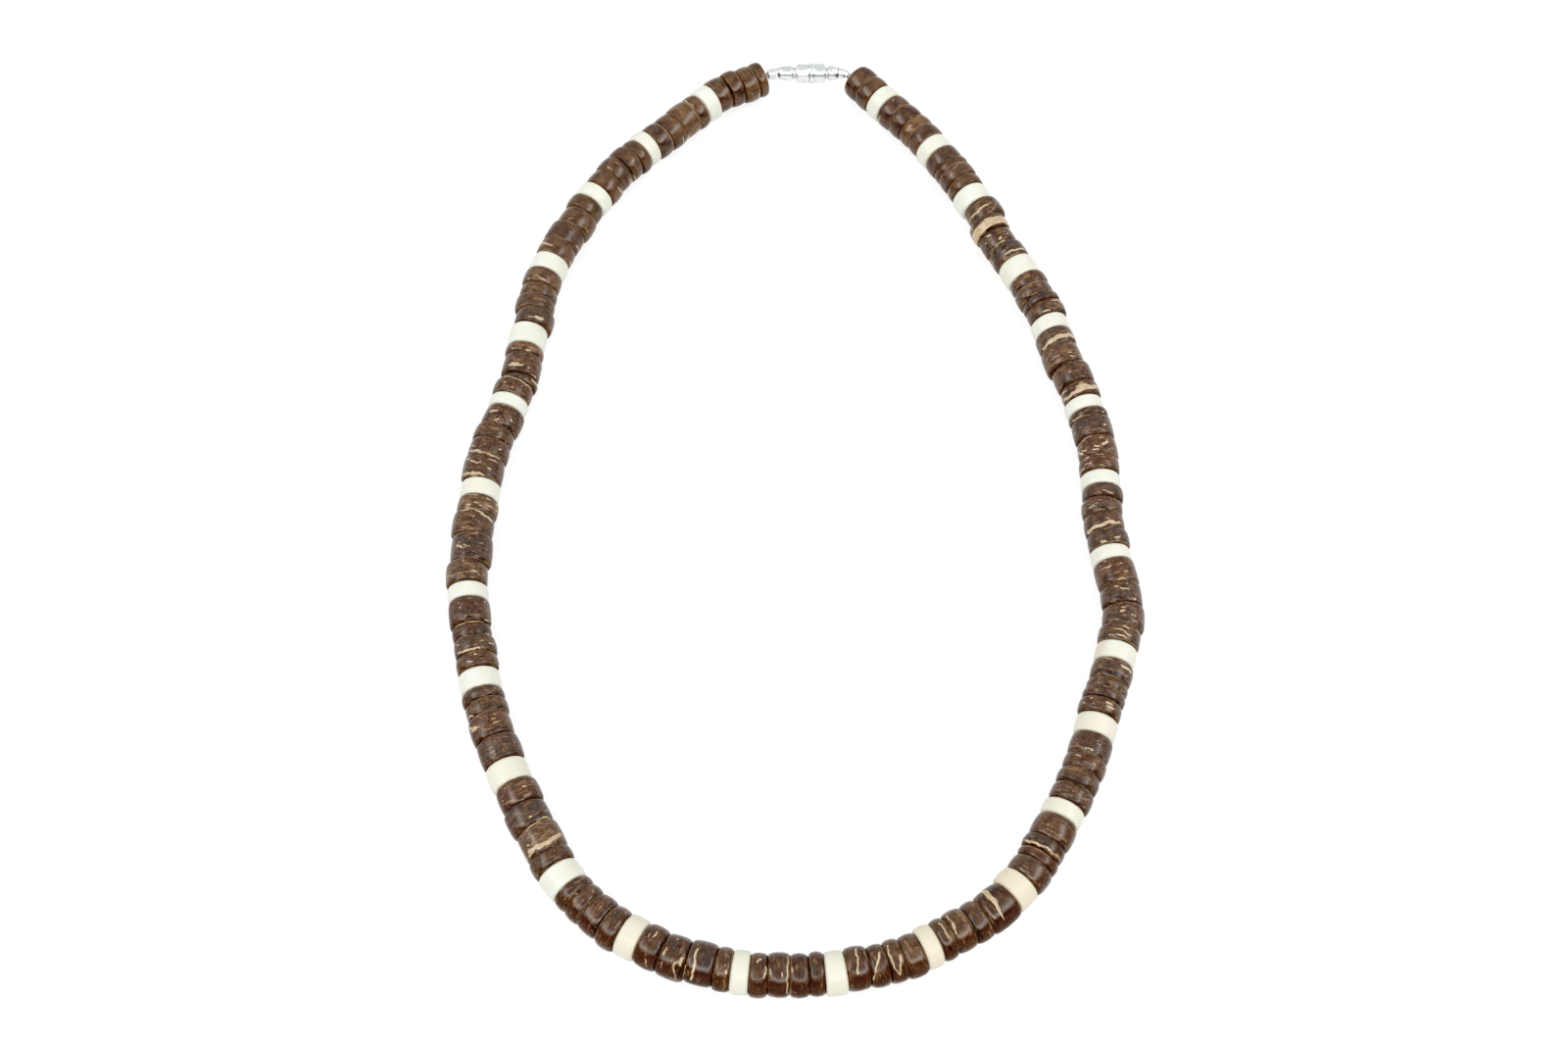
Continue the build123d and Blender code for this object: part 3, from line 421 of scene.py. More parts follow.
    (14, 4, "cream", 0.58, 32, 0.52, 15, 0.13), (14, 4, "cream", 0.52, 15, 0.47, -15, 0.14),
    (14, 4, "cream", 0.47, -15, 0.45, -40, 0.18), (14, 4, "tan", 0.94, 48, 0.89, 14, 0.11),
    (14, 4, "tan", 0.86, 14, 0.81, -12, 0.11), (14, 4, "tan", 0.21, 64, 0.18, 48, 0.09),
    (14, 4, "tan", 0.03, 1, 0.10, -25, 0.18), (14, 4, "tan", 0.80, 59, 0.88, 74, 0.09),
    (14, 4, "dark", 0.17, 4, 0.19, -11, 0.07), (15, 1, "tan", 0.25, 51, 0.22, 31, 0.11),
    (15, 1, "tan", 0.63, 31, 0.63, 20, 0.09), (15, 1, "slate", 0.29, 17, 0.32, 2, 0.32),
    (15, 1, "slate", 0.66, 14, 0.69, -7, 0.32), (15, 1, "dark", 0.98, 54, 0.96, 0, 0.11),
    (15, 1, "tan", 0.69, -16, 0.72, -23, 0.12), (15, 2, "tan", 0.06, 75, 0.07, 53, 0.09),
    (15, 2, "tan", 0.10, 40, 0.13, -2, 0.09), (15, 2, "tan", 0.74, 70, 0.78, 61, 0.11),
    (15, 2, "tan", 0.69, 0, 0.66, -12, 0.18), (15, 2, "tan", 0.55, -6, 0.77, -3, 0.11),
    (15, 2, "cream", 0.88, 9, 0.91, -5, 0.11), (15, 2, "slate", 0.33, 11, 0.41, -20, 0.21),
    (15, 2, "tan", 0.95, 73, 0.95, 9, 0.12), (15, 3, "cream", 0.10, 74, 0.11, -43, 0.11),
    (15, 3, "cream", 0.33, 21, 0.36, 13, 0.12), (15, 3, "tan", 0.29, -22, 0.31, -27, 0.12),
    (15, 3, "tan", 0.19, -37, 0.21, -42, 0.09), (15, 3, "slate", 0.67, 13, 0.67, -7, 0.25),
    (15, 3, "cream", 0.86, 34, 0.88, 31, 0.11), (15, 3, "cream", 0.83, 18, 0.88, 2, 0.12),
    (15, 3, "tan", 0.95, 58, 0.92, 38, 0.08), (15, 3, "tan", 0.91, -2, 0.92, -13, 0.07),
    (15, 3, "slate", 0.24, 6, 0.33, -11, 0.16), (15, 4, "tan", 0.06, 70, 0.04, 33, 0.09),
    (15, 4, "tan", 0.87, 55, 0.89, 50, 0.09), (15, 4, "cream", 0.16, 25, 0.07, 9, 0.12),
    (15, 4, "cream", 0.10, 6, 0.08, -10, 0.12), (15, 4, "tan", 0.25, 11, 0.25, 2, 0.12),
    (15, 4, "cream", 0.57, -18, 0.43, -29, 0.18), (15, 4, "cream", 0.34, -25, 0.46, -31, 0.12),
    (15, 4, "slate", 0.68, 18, 0.77, 0, 0.16), (15, 4, "tan", 0.93, 65, 0.94, 15, 0.08),
    (15, 4, "tan", 0.22, -18, 0.25, -21, 0.09), (16, 1, "tan", 0.28, 81, 0.23, 54, 0.16),
    (16, 1, "tan", 0.26, 54, 0.26, 31, 0.13), (16, 1, "cream", 0.23, 28, 0.26, 18, 0.14),
    (16, 1, "tan", 0.77, 55, 0.79, 48, 0.09), (16, 1, "tan", 0.39, 38, 0.45, 21, 0.09),
    (16, 1, "cream", 0.39, 12, 0.36, 4, 0.09), (16, 1, "slate", 0.65, 15, 0.71, 4, 0.18),
    (16, 1, "tan", 0.91, 0, 0.90, -17, 0.16), (16, 1, "tan", 0.21, -18, 0.42, -25, 0.21),
    (16, 1, "dark", 0.09, 20, 0.08, -5, 0.08), (16, 1, "tan", 0.96, 33, 0.93, 18, 0.07),
    (16, 2, "dark", 0.11, 32, 0.05, 2, 0.14), (16, 2, "slate", 0.36, 18, 0.32, -5, 0.57),
    (16, 2, "cream", 0.67, 71, 0.66, 45, 0.16), (16, 2, "cream", 0.64, 41, 0.65, 24, 0.23),
    (16, 2, "cream", 0.67, 21, 0.69, 4, 0.18), (16, 2, "cream", 0.70, 4, 0.72, -18, 0.18),
    (16, 2, "tan", 0.83, 59, 0.79, 42, 0.16), (16, 2, "cream", 0.98, 93, 0.93, 31, 0.09),
    (16, 2, "tan", 0.92, 31, 0.94, -27, 0.09), (16, 2, "tan", 0.70, -29, 0.74, -49, 0.11),
    (16, 2, "tan", 0.51, 35, 0.52, 30, 0.09), (16, 2, "slate", 0.80, 18, 0.82, 4, 0.18),
    (16, 2, "tan", 0.78, -22, 0.83, -30, 0.09), (16, 3, "cream", 0.16, 79, 0.25, 55, 0.11),
    (16, 3, "cream", 0.25, 55, 0.37, 34, 0.13), (16, 3, "cream", 0.37, 32, 0.23, 23, 0.13),
    (16, 3, "cream", 0.15, 30, 0.11, 11, 0.23), (16, 3, "tan", 0.23, 25, 0.15, 15, 0.20),
    (16, 3, "cream", 0.75, 53, 0.79, 38, 0.11), (16, 3, "cream", 0.79, 18, 0.82, -1, 0.15),
    (16, 3, "cream", 0.56, -38, 0.59, -34, 0.14), (16, 3, "tan", 0.54, -5, 0.56, -9, 0.09),
    (16, 3, "dark", 0.10, 61, 0.07, 39, 0.20), (16, 3, "dark", 0.08, -1, 0.08, -19, 0.14),
    (16, 3, "slate", 0.47, -1, 0.65, -22, 0.49), (16, 3, "tan", 0.96, 30, 0.96, -17, 0.07),
    (16, 3, "tan", 0.27, 0, 0.21, -20, 0.16), (16, 4, "tan", 0.16, 69, 0.28, 72, 0.08),
    (16, 4, "cream", 0.28, 72, 0.40, 51, 0.09), (16, 4, "tan", 0.40, 51, 0.50, 27, 0.09),
    (16, 4, "slate", 0.19, 48, 0.31, 35, 0.22), (16, 4, "dark", 0.08, 28, 0.13, 10, 0.18),
    (16, 4, "tan", 0.55, 4, 0.49, -4, 0.18), (16, 4, "cream", 0.47, -10, 0.46, -30, 0.13),
    (16, 4, "cream", 0.64, -2, 0.69, -17, 0.08), (16, 4, "tan", 0.74, -32, 0.80, -38, 0.13),
    (16, 4, "tan", 0.98, 79, 0.96, 30, 0.08), (16, 4, "tan", 0.84, 8, 0.88, -10, 0.09),
    (16, 4, "tan", 0.66, 67, 0.67, 63, 0.09), (17, 1, "tan", 0.69, 64, 0.71, 43, 0.08),
    (17, 1, "tan", 0.16, 44, 0.21, 21, 0.08), (17, 1, "tan", 0.86, 54, 0.90, 39, 0.09),
    (17, 1, "slate", 0.62, -4, 0.54, -19, 0.30), (17, 1, "tan", 0.77, -7, 0.81, -13, 0.09),
    (17, 1, "dark", 0.06, 21, 0.07, -1, 0.09), (17, 1, "tan", 0.67, 5, 0.71, -7, 0.07),
    (17, 1, "tan", 0.17, -38, 0.29, -48, 0.13), (17, 2, "dark", 0.19, 50, 0.09, 24, 0.22),
    (17, 2, "dark", 0.14, 6, 0.20, -36, 0.15), (17, 2, "tan", 0.38, 54, 0.29, 25, 0.08),
    (17, 2, "tan", 0.31, 11, 0.28, -9, 0.08), (17, 2, "tan", 0.42, -4, 0.41, -16, 0.08),
    (17, 2, "tan", 0.95, 10, 0.98, -23, 0.09), (17, 2, "tan", 0.69, -16, 0.75, -23, 0.09),
    (17, 3, "tan", 0.09, 58, 0.02, 28, 0.09), (17, 3, "tan", 0.51, 62, 0.50, 58, 0.13),
    (17, 3, "tan", 0.31, 29, 0.33, 17, 0.19), (17, 3, "cream", 0.32, -30, 0.47, -36, 0.11),
    (17, 3, "tan", 0.47, -9, 0.48, -13, 0.10), (17, 3, "tan", 0.87, -12, 0.89, -16, 0.10),
    (17, 3, "dark", 0.20, 35, 0.14, -3, 0.09), (17, 3, "tan", 0.69, -32, 0.71, -36, 0.10),
    (17, 3, "tan", 0.06, 21, 0.09, -16, 0.08), (17, 3, "cream", 0.94, 9, 0.96, 4, 0.09),
    (17, 4, "dark", 0.20, 30, 0.29, 1, 0.13), (17, 4, "dark", 0.29, -2, 0.39, -38, 0.11),
    (17, 4, "tan", 0.43, 6, 0.47, 4, 0.10), (17, 4, "tan", 0.75, -9, 0.81, -13, 0.10),
    (17, 4, "tan", 0.54, -20, 0.59, -24, 0.10), (17, 4, "cream", 0.71, -41, 0.81, -43, 0.10),
    (17, 4, "cream", 0.94, 38, 0.94, 18, 0.07), (17, 4, "tan", 0.98, 58, 0.98, 56, 0.10),
    (18, 1, "tan", 0.03, 67, 0.12, 59, 0.10), (18, 1, "tan", 0.97, 69, 0.93, 59, 0.10),
    (18, 1, "tan", 0.34, 4, 0.35, -10, 0.12), (18, 1, "tan", 0.38, -17, 0.41, -21, 0.10),
    (18, 1, "cream", 0.94, -17, 0.98, -21, 0.08), (18, 1, "tan", 0.72, -44, 0.81, -47, 0.10),
    (18, 1, "tan", 0.14, -1, 0.20, -12, 0.10), (18, 1, "dark", 0.98, 38, 0.89, 5, 0.10),
    (18, 1, "slate", 0.22, -28, 0.40, -47, 0.21), (18, 2, "cream", 0.14, 57, 0.17, 38, 0.24),
    (18, 2, "cream", 0.25, 53, 0.21, 19, 0.24), (18, 2, "cream", 0.15, 19, 0.17, -10, 0.35),
    (18, 2, "cream", 0.15, -10, 0.33, -53, 0.35), (18, 2, "tan", 0.10, 18, 0.13, -29, 0.20),
    (18, 2, "cream", 0.42, 45, 0.40, 38, 0.10), (18, 2, "cream", 0.48, 21, 0.50, 18, 0.12),
    (18, 2, "cream", 0.79, 53, 0.83, 51, 0.10), (18, 2, "cream", 0.61, 27, 0.59, 18, 0.09),
    (18, 2, "tan", 0.66, 0, 0.68, -12, 0.09), (18, 2, "cream", 0.89, -13, 0.91, -16, 0.10),
    (18, 2, "cream", 0.71, -38, 0.73, -40, 0.10), (18, 2, "tan", 0.47, -45, 0.54, -48, 0.10),
    (18, 2, "tan", 0.54, -37, 0.48, -30, 0.10), (18, 2, "tan", 0.44, -2, 0.49, -27, 0.24),
    (18, 2, "tan", 0.76, -6, 0.81, -33, 0.20), (18, 2, "cream", 0.88, 30, 0.94, 11, 0.09),
    (18, 2, "tan", 0.26, 19, 0.29, 13, 0.12), (18, 2, "cream", 0.95, 17, 0.98, -16, 0.10),
    (18, 2, "tan", 0.60, 41, 0.69, 33, 0.10), (18, 2, "tan", 0.33, -35, 0.35, -37, 0.08),
    (18, 2, "tan", 0.93, 36, 0.96, 17, 0.08), (18, 3, "cream", 0.02, -16, 0.05, -42, 0.12),
    (18, 3, "cream", 0.05, -42, 0.02, -65, 0.14), (18, 3, "tan", 0.20, 42, 0.16, 17, 0.20),
    (18, 3, "dark", 0.12, -6, 0.24, -37, 0.20), (18, 3, "cream", 0.21, 1, 0.23, -6, 0.14),
    (18, 3, "slate", 0.50, -9, 0.68, -41, 0.60), (18, 3, "tan", 0.23, -10, 0.33, -31, 0.12),
    (18, 3, "cream", 0.33, -48, 0.36, -68, 0.10), (18, 3, "tan", 0.25, -45, 0.30, -49, 0.10),
    (18, 3, "dark", 0.47, 52, 0.46, 38, 0.18), (18, 3, "slate", 0.55, -10, 0.65, -32, 0.64),
    (18, 3, "tan", 0.76, 1, 0.82, -22, 0.07), (18, 3, "tan", 0.86, -60, 0.91, -64, 0.09),
    (18, 4, "dark", 0.10, 26, 0.06, -6, 0.18), (18, 4, "dark", 0.07, -24, 0.10, -38, 0.14),
    (18, 4, "tan", 0.26, 47, 0.15, 17, 0.25), (18, 4, "tan", 0.12, -6, 0.19, -27, 0.21),
    (18, 4, "cream", 0.46, 57, 0.46, 52, 0.11), (18, 4, "cream", 0.78, 33, 0.79, 30, 0.14),
    (18, 4, "tan", 0.28, 4, 0.29, -20, 0.11), (18, 4, "cream", 0.51, -14, 0.51, -21, 0.12),
    (18, 4, "tan", 0.41, -39, 0.44, -40, 0.09), (18, 4, "tan", 0.66, -3, 0.74, -26, 0.25),
    (19, 1, "tan", 0.02, 29, 0.02, 9, 0.09), (19, 1, "dark", 0.26, 44, 0.18, 24, 0.22),
    (19, 1, "tan", 0.59, -3, 0.56, -9, 0.09), (19, 1, "tan", 0.29, -7, 0.28, -16, 0.11),
    (19, 1, "tan", 0.74, -18, 0.75, -32, 0.11), (19, 1, "dark", 0.04, -2, 0.12, -30, 0.13),
    (19, 1, "slate", 0.45, -14, 0.60, -38, 0.26), (19, 1, "tan", 0.40, -29, 0.31, -50, 0.07),
    (19, 1, "dark", 0.95, 50, 0.89, 29, 0.11), (19, 2, "tan", 0.06, 32, 0.02, 15, 0.09),
    (19, 2, "dark", 0.14, 29, 0.14, -5, 0.18), (19, 2, "cream", 0.72, 67, 0.53, 40, 0.26),
    (19, 2, "cream", 0.55, 62, 0.47, 39, 0.15), (19, 2, "cream", 0.50, 39, 0.49, 29, 0.11),
    (19, 2, "tan", 0.34, 32, 0.26, 10, 0.15), (19, 2, "cream", 0.40, -9, 0.41, -22, 0.15),
    (19, 2, "cream", 0.56, -9, 0.56, -20, 0.11), (19, 2, "cream", 0.42, -26, 0.47, -32, 0.09),
    (19, 2, "cream", 0.77, -16, 0.78, -27, 0.07), (19, 2, "dark", 0.12, -20, 0.19, -46, 0.18),
    (19, 2, "tan", 0.28, -40, 0.47, -52, 0.15), (19, 2, "tan", 0.81, 17, 0.84, 0, 0.09),
    (19, 3, "cream", 0.23, 63, 0.16, 46, 0.15), (19, 3, "dark", 0.09, -14, 0.15, -55, 0.22),
    (19, 3, "tan", 0.56, -15, 0.65, -45, 0.11), (19, 3, "tan", 0.97, -26, 0.98, -44, 0.11),
    (19, 3, "tan", 0.52, 50, 0.52, 42, 0.15), (19, 4, "tan", 0.06, 15, 0.02, -8, 0.07),
    (19, 4, "dark", 0.26, 39, 0.13, 9, 0.22), (19, 4, "dark", 0.08, -9, 0.15, -44, 0.13),
    (19, 4, "slate", 0.59, 32, 0.64, 16, 0.23), (19, 4, "tan", 0.42, -10, 0.35, -19, 0.11),
    (19, 4, "slate", 0.56, 44, 0.71, 45, 0.23), (19, 4, "tan", 0.29, -25, 0.31, -35, 0.09),
    (19, 4, "tan", 0.21, -63, 0.30, -77, 0.09), (20, 1, "tan", 0.02, 54, 0.02, 40, 0.15),
    (20, 1, "tan", 0.27, 49, 0.28, 36, 0.11), (20, 1, "dark", 0.12, 41, 0.12, 22, 0.15),
    (20, 1, "tan", 0.02, 13, 0.02, -2, 0.19), (20, 1, "slate", 0.54, 25, 0.64, 12, 0.31),
    (20, 1, "cream", 0.31, 23, 0.24, 7, 0.11), (20, 1, "tan", 0.50, 54, 0.59, 51, 0.10),
    (20, 1, "cream", 0.70, -1, 0.71, -6, 0.15), (20, 1, "tan", 0.23, -27, 0.27, -37, 0.08),
    (20, 1, "tan", 0.60, -33, 0.66, -37, 0.10), (20, 1, "tan", 0.13, -63, 0.37, -65, 0.15),
    (20, 1, "dark", 0.41, -14, 0.53, -27, 0.19), (20, 1, "tan", 0.79, 13, 0.76, 7, 0.10),
    (20, 2, "cream", 0.21, 54, 0.09, 32, 0.15), (20, 2, "cream", 0.08, 28, 0.10, 6, 0.15),
    (20, 2, "cream", 0.09, 3, 0.07, -15, 0.17), (20, 2, "tan", 0.04, -18, 0.08, -41, 0.15),
    (20, 2, "cream", 0.36, -46, 0.37, -64, 0.13), (20, 2, "dark", 0.30, 14, 0.25, 5, 0.12),
    (20, 2, "tan", 0.26, -1, 0.22, -10, 0.15), (20, 2, "cream", 0.63, 51, 0.60, 41, 0.08),
    (20, 2, "slate", 0.51, 26, 0.42, 10, 0.27), (20, 2, "cream", 0.47, -20, 0.52, -30, 0.08),
    (20, 2, "tan", 0.79, -49, 0.82, -58, 0.10), (20, 2, "cream", 0.98, 57, 0.94, 31, 0.10),
    (20, 2, "cream", 0.95, 27, 0.95, 11, 0.08), (20, 2, "tan", 0.48, -40, 0.46, -47, 0.10),
    (20, 3, "cream", 0.02, -33, 0.11, -64, 0.12), (20, 3, "dark", 0.16, -5, 0.17, -33, 0.27),
    (20, 3, "dark", 0.13, -40, 0.15, -57, 0.15), (20, 3, "slate", 0.49, 17, 0.45, 4, 0.23),
    (20, 3, "cream", 0.93, 49, 0.91, 22, 0.17), (20, 3, "cream", 0.94, 19, 0.93, -13, 0.19),
    (20, 3, "cream", 0.89, -17, 0.98, -46, 0.17), (20, 3, "tan", 0.48, -39, 0.46, -46, 0.08),
    (20, 3, "tan", 0.38, -18, 0.38, -25, 0.08), (20, 3, "slate", 0.46, -29, 0.59, -48, 0.19),
    (20, 4, "cream", 0.02, -52, 0.05, -70, 0.10), (20, 4, "tan", 0.25, 50, 0.12, 25, 0.10),
    (20, 4, "dark", 0.05, 9, 0.11, -12, 0.23), (20, 4, "tan", 0.15, -9, 0.16, -34, 0.23),
    (20, 4, "slate", 0.32, 18, 0.31, -1, 0.31), (20, 4, "cream", 0.53, 22, 0.50, 16, 0.08),
    (20, 4, "cream", 0.75, 27, 0.75, 22, 0.08), (20, 4, "cream", 0.12, 9, 0.14, 6, 0.10),
    (20, 4, "slate", 0.74, 10, 0.75, 0, 0.20), (20, 4, "cream", 0.78, -53, 0.80, -60, 0.12),
    (20, 4, "cream", 0.94, -55, 0.98, -68, 0.14), (20, 4, "cream", 0.29, -47, 0.31, -49, 0.08),
    (20, 4, "tan", 0.94, -33, 0.98, -60, 0.10), (20, 4, "tan", 0.65, 61, 0.67, 58, 0.12),
    (21, 1, "cream", 0.32, 61, 0.26, 36, 0.08), (21, 1, "tan", 0.27, 32, 0.22, 5, 0.28),
    (21, 1, "slate", 0.41, 18, 0.40, -1, 0.20), (21, 1, "tan", 0.64, 42, 0.70, 34, 0.12),
    (21, 1, "tan", 0.45, -7, 0.58, -12, 0.12), (21, 1, "cream", 0.43, -22, 0.26, -46, 0.08),
    (21, 1, "cream", 0.37, -13, 0.30, -32, 0.06), (21, 1, "cream", 0.83, 8, 0.87, 0, 0.10),
    (21, 1, "tan", 0.79, -38, 0.81, -40, 0.08), (21, 1, "dark", 0.03, -1, 0.06, -20, 0.16),
    (21, 1, "tan", 0.97, -12, 0.98, -34, 0.12), (21, 1, "tan", 0.10, 18, 0.07, -1, 0.12),
    (21, 1, "tan", 0.17, -58, 0.43, -59, 0.16), (21, 2, "cream", 0.48, 39, 0.39, 19, 0.18),
    (21, 2, "cream", 0.44, 16, 0.38, -3, 0.10), (21, 2, "tan", 0.20, 20, 0.15, 7, 0.12),
    (21, 2, "dark", 0.18, 7, 0.15, -18, 0.28), (21, 2, "dark", 0.02, -34, 0.02, -53, 0.16),
    (21, 2, "slate", 0.65, 37, 0.57, 7, 0.48), (21, 2, "slate", 0.54, -6, 0.62, -41, 0.52),
    (21, 2, "tan", 0.79, 9, 0.83, -11, 0.14), (21, 2, "cream", 0.85, -12, 0.91, -25, 0.10),
    (21, 2, "tan", 0.93, -32, 0.98, -61, 0.14), (21, 2, "cream", 0.46, -15, 0.44, -17, 0.06),
    (21, 2, "cream", 0.33, -34, 0.34, -35, 0.08), (21, 2, "cream", 0.76, -63, 0.80, -67, 0.08),
    (21, 2, "tan", 0.19, -44, 0.35, -52, 0.16), (21, 2, "tan", 0.47, -61, 0.52, -64, 0.10),
    (21, 2, "tan", 0.90, 45, 0.90, 20, 0.10), (21, 2, "tan", 0.90, 13, 0.98, -14, 0.10),
    (21, 3, "tan", 0.11, 18, 0.02, -20, 0.16), (21, 3, "dark", 0.14, -46, 0.20, -63, 0.12),
    (21, 3, "tan", 0.32, 17, 0.32, 0, 0.16), (21, 3, "cream", 0.65, 2, 0.61, -11, 0.10),
    (21, 3, "tan", 0.48, -9, 0.45, -19, 0.10), (21, 3, "cream", 0.93, 45, 0.93, 8, 0.12),
    (21, 3, "cream", 0.92, -11, 0.89, -30, 0.18), (21, 3, "cream", 0.84, -30, 0.71, -66, 0.24),
    (21, 3, "slate", 0.53, -20, 0.51, -35, 0.24), (21, 3, "dark", 0.96, -31, 0.89, -63, 0.14),
    (21, 4, "cream", 0.20, 25, 0.23, 11, 0.12), (21, 4, "cream", 0.42, 1, 0.37, -12, 0.10),
    (21, 4, "cream", 0.02, 37, 0.02, -3, 0.12), (21, 4, "cream", 0.83, 22, 0.85, -8, 0.08),
    (21, 4, "cream", 0.75, -30, 0.78, -42, 0.10), (21, 4, "cream", 0.38, -35, 0.40, -57, 0.10),
    (21, 4, "cream", 0.41, -72, 0.45, -82, 0.10), (21, 4, "tan", 0.61, 11, 0.63, 8, 0.12),
    (21, 4, "tan", 0.15, 37, 0.11, 14, 0.14), (21, 4, "tan", 0.22, -24, 0.21, -41, 0.10),
    (21, 4, "tan", 0.68, 12, 0.70, -18, 0.08), (21, 4, "tan", 0.66, 45, 0.49, 30, 0.10),
    (21, 4, "dark", 0.53, -13, 0.60, -40, 0.12), (21, 4, "cream", 0.27, -15, 0.25, -21, 0.08),
    (22, 1, "cream", 0.13, 63, 0.03, 19, 0.20), (22, 1, "cream", 0.07, 18, 0.02, -15, 0.18),
    (22, 1, "tan", 0.14, 18, 0.07, -2, 0.16), (22, 1, "cream", 0.78, 60, 0.68, 35, 0.10),
    (22, 1, "cream", 0.60, 33, 0.48, 9, 0.16), (22, 1, "cream", 0.48, 9, 0.50, -1, 0.12),
    (22, 1, "tan", 0.31, 26, 0.29, 15, 0.12), (22, 1, "tan", 0.30, 12, 0.27, -4, 0.10),
    (22, 1, "cream", 0.34, -25, 0.33, -31, 0.16), (22, 1, "dark", 0.21, -26, 0.30, -50, 0.12),
    (22, 1, "cream", 0.98, 15, 0.95, -12, 0.25), (22, 1, "cream", 0.93, -15, 0.92, -52, 0.21),
    (22, 1, "cream", 0.73, -23, 0.69, -45, 0.12), (22, 1, "tan", 0.26, -33, 0.30, -39, 0.12),
    (22, 1, "slate", 0.64, -1, 0.61, -14, 0.29), (22, 1, "tan", 0.34, -50, 0.38, -54, 0.10),
    (22, 2, "cream", 0.12, 52, 0.02, 15, 0.19), (22, 2, "cream", 0.43, 53, 0.36, 33, 0.10),
    (22, 2, "tan", 0.27, 20, 0.26, 15, 0.12), (22, 2, "cream", 0.43, 4, 0.46, 2, 0.12),
    (22, 2, "tan", 0.17, -15, 0.15, -19, 0.12), (22, 2, "cream", 0.37, -39, 0.42, -45, 0.16),
    (22, 2, "tan", 0.17, -50, 0.22, -53, 0.14), (22, 2, "tan", 0.94, 50, 0.84, 24, 0.10),
    (22, 2, "tan", 0.57, -36, 0.70, -51, 0.12), (22, 2, "slate", 0.43, -60, 0.77, -62, 0.21),
    (22, 2, "tan", 0.88, -30, 0.86, -64, 0.10), (22, 2, "tan", 0.96, 32, 0.97, 2, 0.16),
    (22, 2, "tan", 0.97, -11, 0.94, -24, 0.12), (22, 3, "dark", 0.09, 20, 0.02, -1, 0.19),
    (22, 3, "tan", 0.08, -21, 0.03, -34, 0.14), (22, 3, "dark", 0.06, -34, 0.05, -47, 0.14),
    (22, 3, "tan", 0.16, 5, 0.11, -2, 0.10), (22, 3, "tan", 0.25, -44, 0.23, -48, 0.12),
    (22, 3, "tan", 0.53, 25, 0.42, 20, 0.10), (22, 3, "cream", 0.02, -71, 0.02, -77, 0.12),
    (22, 3, "tan", 0.02, -59, 0.14, -55, 0.16), (22, 3, "slate", 0.55, -72, 0.70, -81, 0.33),
    (22, 3, "tan", 0.81, 2, 0.85, -2, 0.12), (22, 3, "tan", 0.56, 4, 0.60, -28, 0.29),
    (22, 4, "cream", 0.48, 31, 0.52, 12, 0.27), (22, 4, "tan", 0.13, 17, 0.13, 2, 0.12),
    (22, 4, "cream", 0.06, 6, 0.16, -5, 0.16), (22, 4, "cream", 0.27, -4, 0.27, -7, 0.10),
    (22, 4, "tan", 0.15, -15, 0.07, -11, 0.10), (22, 4, "dark", 0.13, 37, 0.11, 14, 0.20),
    (22, 4, "dark", 0.04, -24, 0.03, -43, 0.20), (22, 4, "dark", 0.03, -43, 0.06, -67, 0.18),
    (22, 4, "cream", 0.35, -38, 0.33, -42, 0.20), (22, 4, "slate", 0.39, -6, 0.41, -13, 0.29),
    (22, 4, "tan", 0.36, -50, 0.39, -53, 0.10), (22, 4, "tan", 0.64, -12, 0.71, -38, 0.12),
    (22, 4, "slate", 0.48, -61, 0.61, -67, 0.29), (22, 4, "tan", 0.22, 25, 0.20, 9, 0.10),
    (22, 4, "dark", 0.25, 36, 0.58, 39, 0.20), (23, 1, "tan", 0.17, 58, 0.28, 44, 0.17),
    (23, 1, "cream", 0.44, 19, 0.45, 15, 0.13), (23, 1, "cream", 0.21, -9, 0.23, -11, 0.15),
    (23, 1, "tan", 0.26, 20, 0.19, -1, 0.17), (23, 1, "tan", 0.28, -36, 0.37, -38, 0.17),
    (23, 1, "tan", 0.21, -44, 0.22, -52, 0.13), (23, 1, "cream", 0.98, 5, 0.90, -26, 0.15),
    (23, 1, "cream", 0.86, -26, 0.85, -71, 0.13), (23, 1, "tan", 0.50, -48, 0.58, -50, 0.11),
    (23, 1, "slate", 0.51, -16, 0.50, -32, 0.21), (23, 1, "tan", 0.66, -34, 0.65, -41, 0.09),
    (23, 1, "tan", 0.10, -79, 0.28, -85, 0.13), (23, 2, "cream", 0.42, 49, 0.03, 8, 0.15),
    (23, 2, "dark", 0.82, 51, 0.56, 24, 0.19), (23, 2, "dark", 0.50, 20, 0.17, -2, 0.17),
    (23, 2, "tan", 0.17, -37, 0.18, -56, 0.17), (23, 2, "slate", 0.74, 10, 0.56, -18, 0.17),
    (23, 3, "tan", 0.07, -65, 0.02, -46, 0.11), (23, 3, "cream", 0.02, -46, 0.07, -68, 0.09),
    (23, 3, "cream", 0.23, 29, 0.23, 5, 0.22), (23, 3, "cream", 0.33, 23, 0.30, 1, 0.20),
    (23, 3, "cream", 0.20, 2, 0.26, -12, 0.17), (23, 3, "dark", 0.21, -18, 0.27, -22, 0.26),
    (23, 3, "tan", 0.18, -31, 0.22, -35, 0.15), (23, 3, "tan", 0.50, 17, 0.48, 2, 0.22),
    (23, 3, "cream", 0.24, -30, 0.28, -34, 0.15), (23, 3, "tan", 0.72, -27, 0.74, -38, 0.15),
    (23, 3, "slate", 0.69, 18, 0.66, 0, 0.31), (23, 3, "tan", 0.60, -69, 0.75, -81, 0.13),
    (23, 3, "tan", 0.82, -1, 0.81, -15, 0.18), (23, 3, "tan", 0.44, -57, 0.56, -64, 0.11),
    (23, 4, "tan", 0.35, 50, 0.28, 33, 0.13), (23, 4, "cream", 0.33, 33, 0.18, 28, 0.09),
